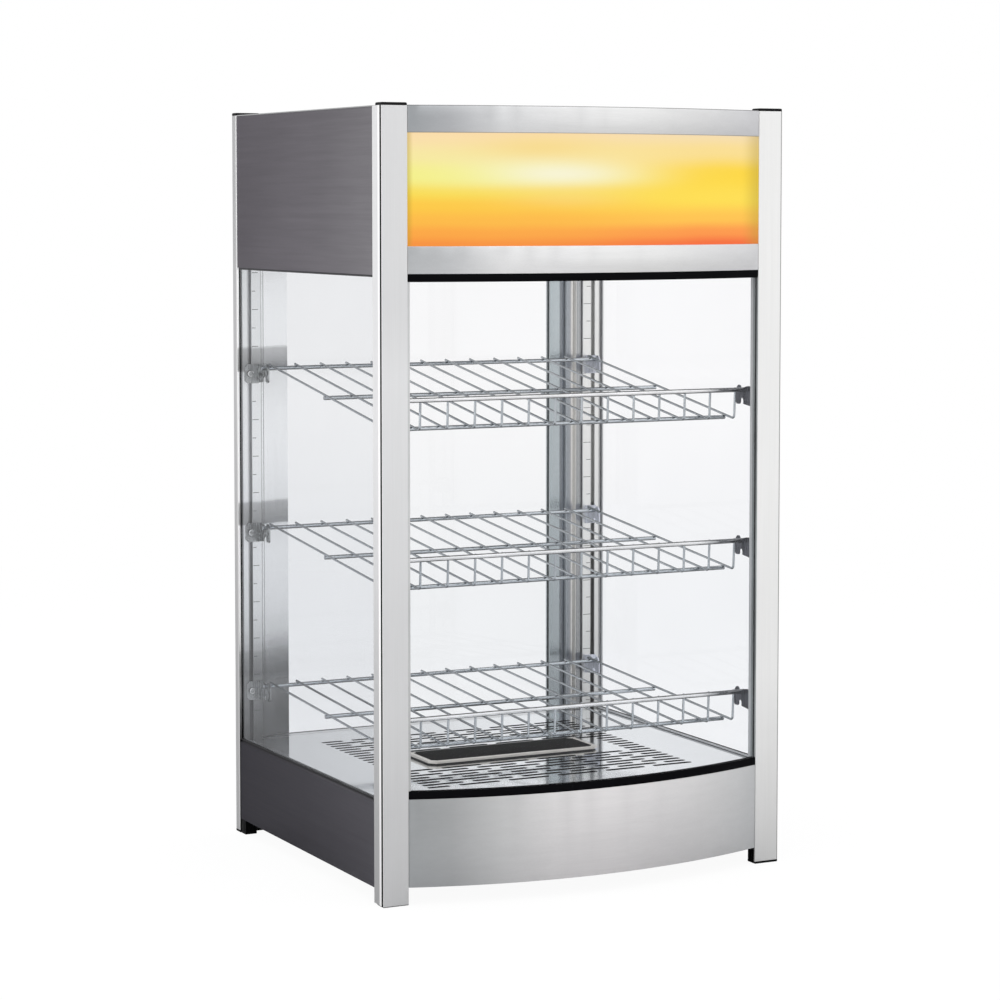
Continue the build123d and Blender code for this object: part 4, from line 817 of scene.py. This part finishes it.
# on and off marks of the two rockers, lying on their curved caps
for name, cx in (("power_rocker", -0.010), ("light_rocker", 0.024)):
    tilt = math.radians(8.0)

    def cap(x, b, lift):
        r = 0.04256
        a = 0.0031 + r - math.sqrt(r * r - b * b) + lift
        return (x, 0.1995 + a * math.cos(tilt) - b * math.sin(tilt), 0.048 + a * math.sin(tilt) + b * math.cos(tilt))

    bm = bmesh.new()
    steps = 6
    rows = []
    for i in range(steps + 1):
        b = 0.0045 + 0.0040 * i / steps
        rows.append([bm.verts.new(cap(cx + sx * 0.00035, b, lift)) for lift in (-0.00002, 0.00005) for sx in (-1, 1)])
    for p, q in zip(rows, rows[1:]):
        for i, j in ((0, 1), (1, 3), (3, 2), (2, 0)):
            bm.faces.new((p[i], p[j], q[j], q[i]))
    bm.faces.new([rows[0][i] for i in (0, 2, 3, 1)])
    bm.faces.new([rows[-1][i] for i in (0, 1, 3, 2)])
    ring = []
    for i in range(24):
        t = 2 * math.pi * i / 24
        ring.append([bm.verts.new(cap(cx + r * math.cos(t), -0.0065 + r * math.sin(t) * 1.1, lift))
                     for lift in (-0.00002, 0.00005) for r in (0.0014, 0.0020)])
    for k in range(24):
        p, q = ring[k], ring[(k + 1) % 24]
        for i, j in ((0, 1), (1, 3), (3, 2), (2, 0)):
            bm.faces.new((p[i], p[j], q[j], q[i]))
    bmesh.ops.recalc_face_normals(bm, faces=bm.faces)
    mesh_piece(name + "_marks", bm, MAT["light_print"], name)

# ---------------------------------------------------------------- floor, world, lights
bm = bmesh.new()
rings, steps = (0.0, 0.6, 1.2, 2.0, 3.2, 5.0, 9.0), 64
loops = []
for r in rings[1:]:
    loops.append([bm.verts.new((r * math.cos(2 * math.pi * k / steps), r * math.sin(2 * math.pi * k / steps), 0.0)) for k in range(steps)])
middle = bm.verts.new((0, 0, 0))
for k in range(steps):
    bm.faces.new((middle, loops[0][k], loops[0][(k + 1) % steps]))
    for a, b in zip(loops, loops[1:]):
        bm.faces.new((a[k], b[k], b[(k + 1) % steps], a[(k + 1) % steps]))
me = bpy.data.meshes.new("floor")
bm.to_mesh(me)
bm.free()
floor = bpy.data.objects.new("floor", me)
scene.collection.objects.link(floor)
floor.location.z = -0.0004
m = bpy.data.materials.new("floor")
m.use_nodes = True
g = Graph(m.node_tree)
out = g.add("ShaderNodeOutputMaterial")
co = g.add("ShaderNodeTexCoord").outputs["Object"]
dist = g.add("ShaderNodeVectorMath", {"operation": "LENGTH"})
g.put(dist.inputs[0], co)
far = g.span(dist.outputs["Value"], 0.7, 2.6)
path = g.add("ShaderNodeLightPath").outputs["Is Camera Ray"]
soft = g.add("ShaderNodeBsdfDiffuse", inputs={"Color": g.mix(path, (0.70, 0.70, 0.705), (0.06, 0.06, 0.0603))})
lift = g.add("ShaderNodeEmission", inputs={"Color": (1, 1, 1)})
g.put(lift.inputs["Strength"], g.math("MULTIPLY", path, 0.943))
near = g.add("ShaderNodeAddShader")
g.put(near.inputs[0], soft)
g.put(near.inputs[1], lift)
flat = g.add("ShaderNodeEmission", inputs={"Color": (1, 1, 1)})
g.put(flat.inputs["Strength"], g.math("MULTIPLY_ADD", path, 0.28, 0.72))
mix = g.add("ShaderNodeMixShader", inputs={0: far})
g.put(mix.inputs[1], near)
g.put(mix.inputs[2], flat)
g.tree.links.new(mix.outputs[0], out.inputs["Surface"])
floor.data.materials.append(m)

world = bpy.data.worlds.new("studio")
scene.world = world
world.use_nodes = True
g = Graph(world.node_tree)
out = g.add("ShaderNodeOutputWorld")
d = g.add("ShaderNodeTexCoord").outputs["Generated"]
xyz = g.add("ShaderNodeSeparateXYZ", inputs={0: d}).outputs
az = g.math("ARCTAN2", xyz[0], g.math("MULTIPLY", xyz[1], -1.0))
turn = g.math("MULTIPLY_ADD", az, 1.0 / (2.0 * math.pi), 0.5)
AZ = [(-180, .66), (-154, .50), (-125, .70), (-95, 1.0), (-62, .82), (-34, .56), (-14, .54), (-5, .63), (6, .86), (15, .94),
      (24, 1.0), (34, 1.14), (48, 1.03), (66, .82), (92, .72), (120, .74), (146, .88), (153, 1.02), (157, .76), (161, .66), (180, .62)]
side = g.ramp(turn, [((a + 180) / 360, v) for a, v in AZ], "LINEAR")
up = g.span(xyz[2], 0.30, 0.72)
light = g.mix(up, side, (1.06, 1.06, 1.06))
path = g.add("ShaderNodeLightPath").outputs["Is Camera Ray"]
light = g.mix(path, light, (1.0, 1.0, 1.0))
bg = g.add("ShaderNodeBackground", inputs={"Color": light, "Strength": 1.0})
g.tree.links.new(bg.outputs[0], out.inputs["Surface"])


def softbox(name, at, target, size, power):
    data = bpy.data.lights.new(name, "AREA")
    data.shape = "RECTANGLE"
    data.size, data.size_y = size
    data.energy = power
    o = bpy.data.objects.new(name, data)
    scene.collection.objects.link(o)
    o.location = at
    o.rotation_mode = "QUATERNION"
    o.rotation_quaternion = (Vector(target) - Vector(at)).to_track_quat("-Z", "Y")
    return o


softbox("overhead", (0.1, -0.5, 2.5), (0, 0, 0.3), (2.2, 2.2), 14.0)
softbox("left_window", (-2.6, -0.2, 1.1), (0, 0, 0.45), (1.6, 2.2), 16.5)
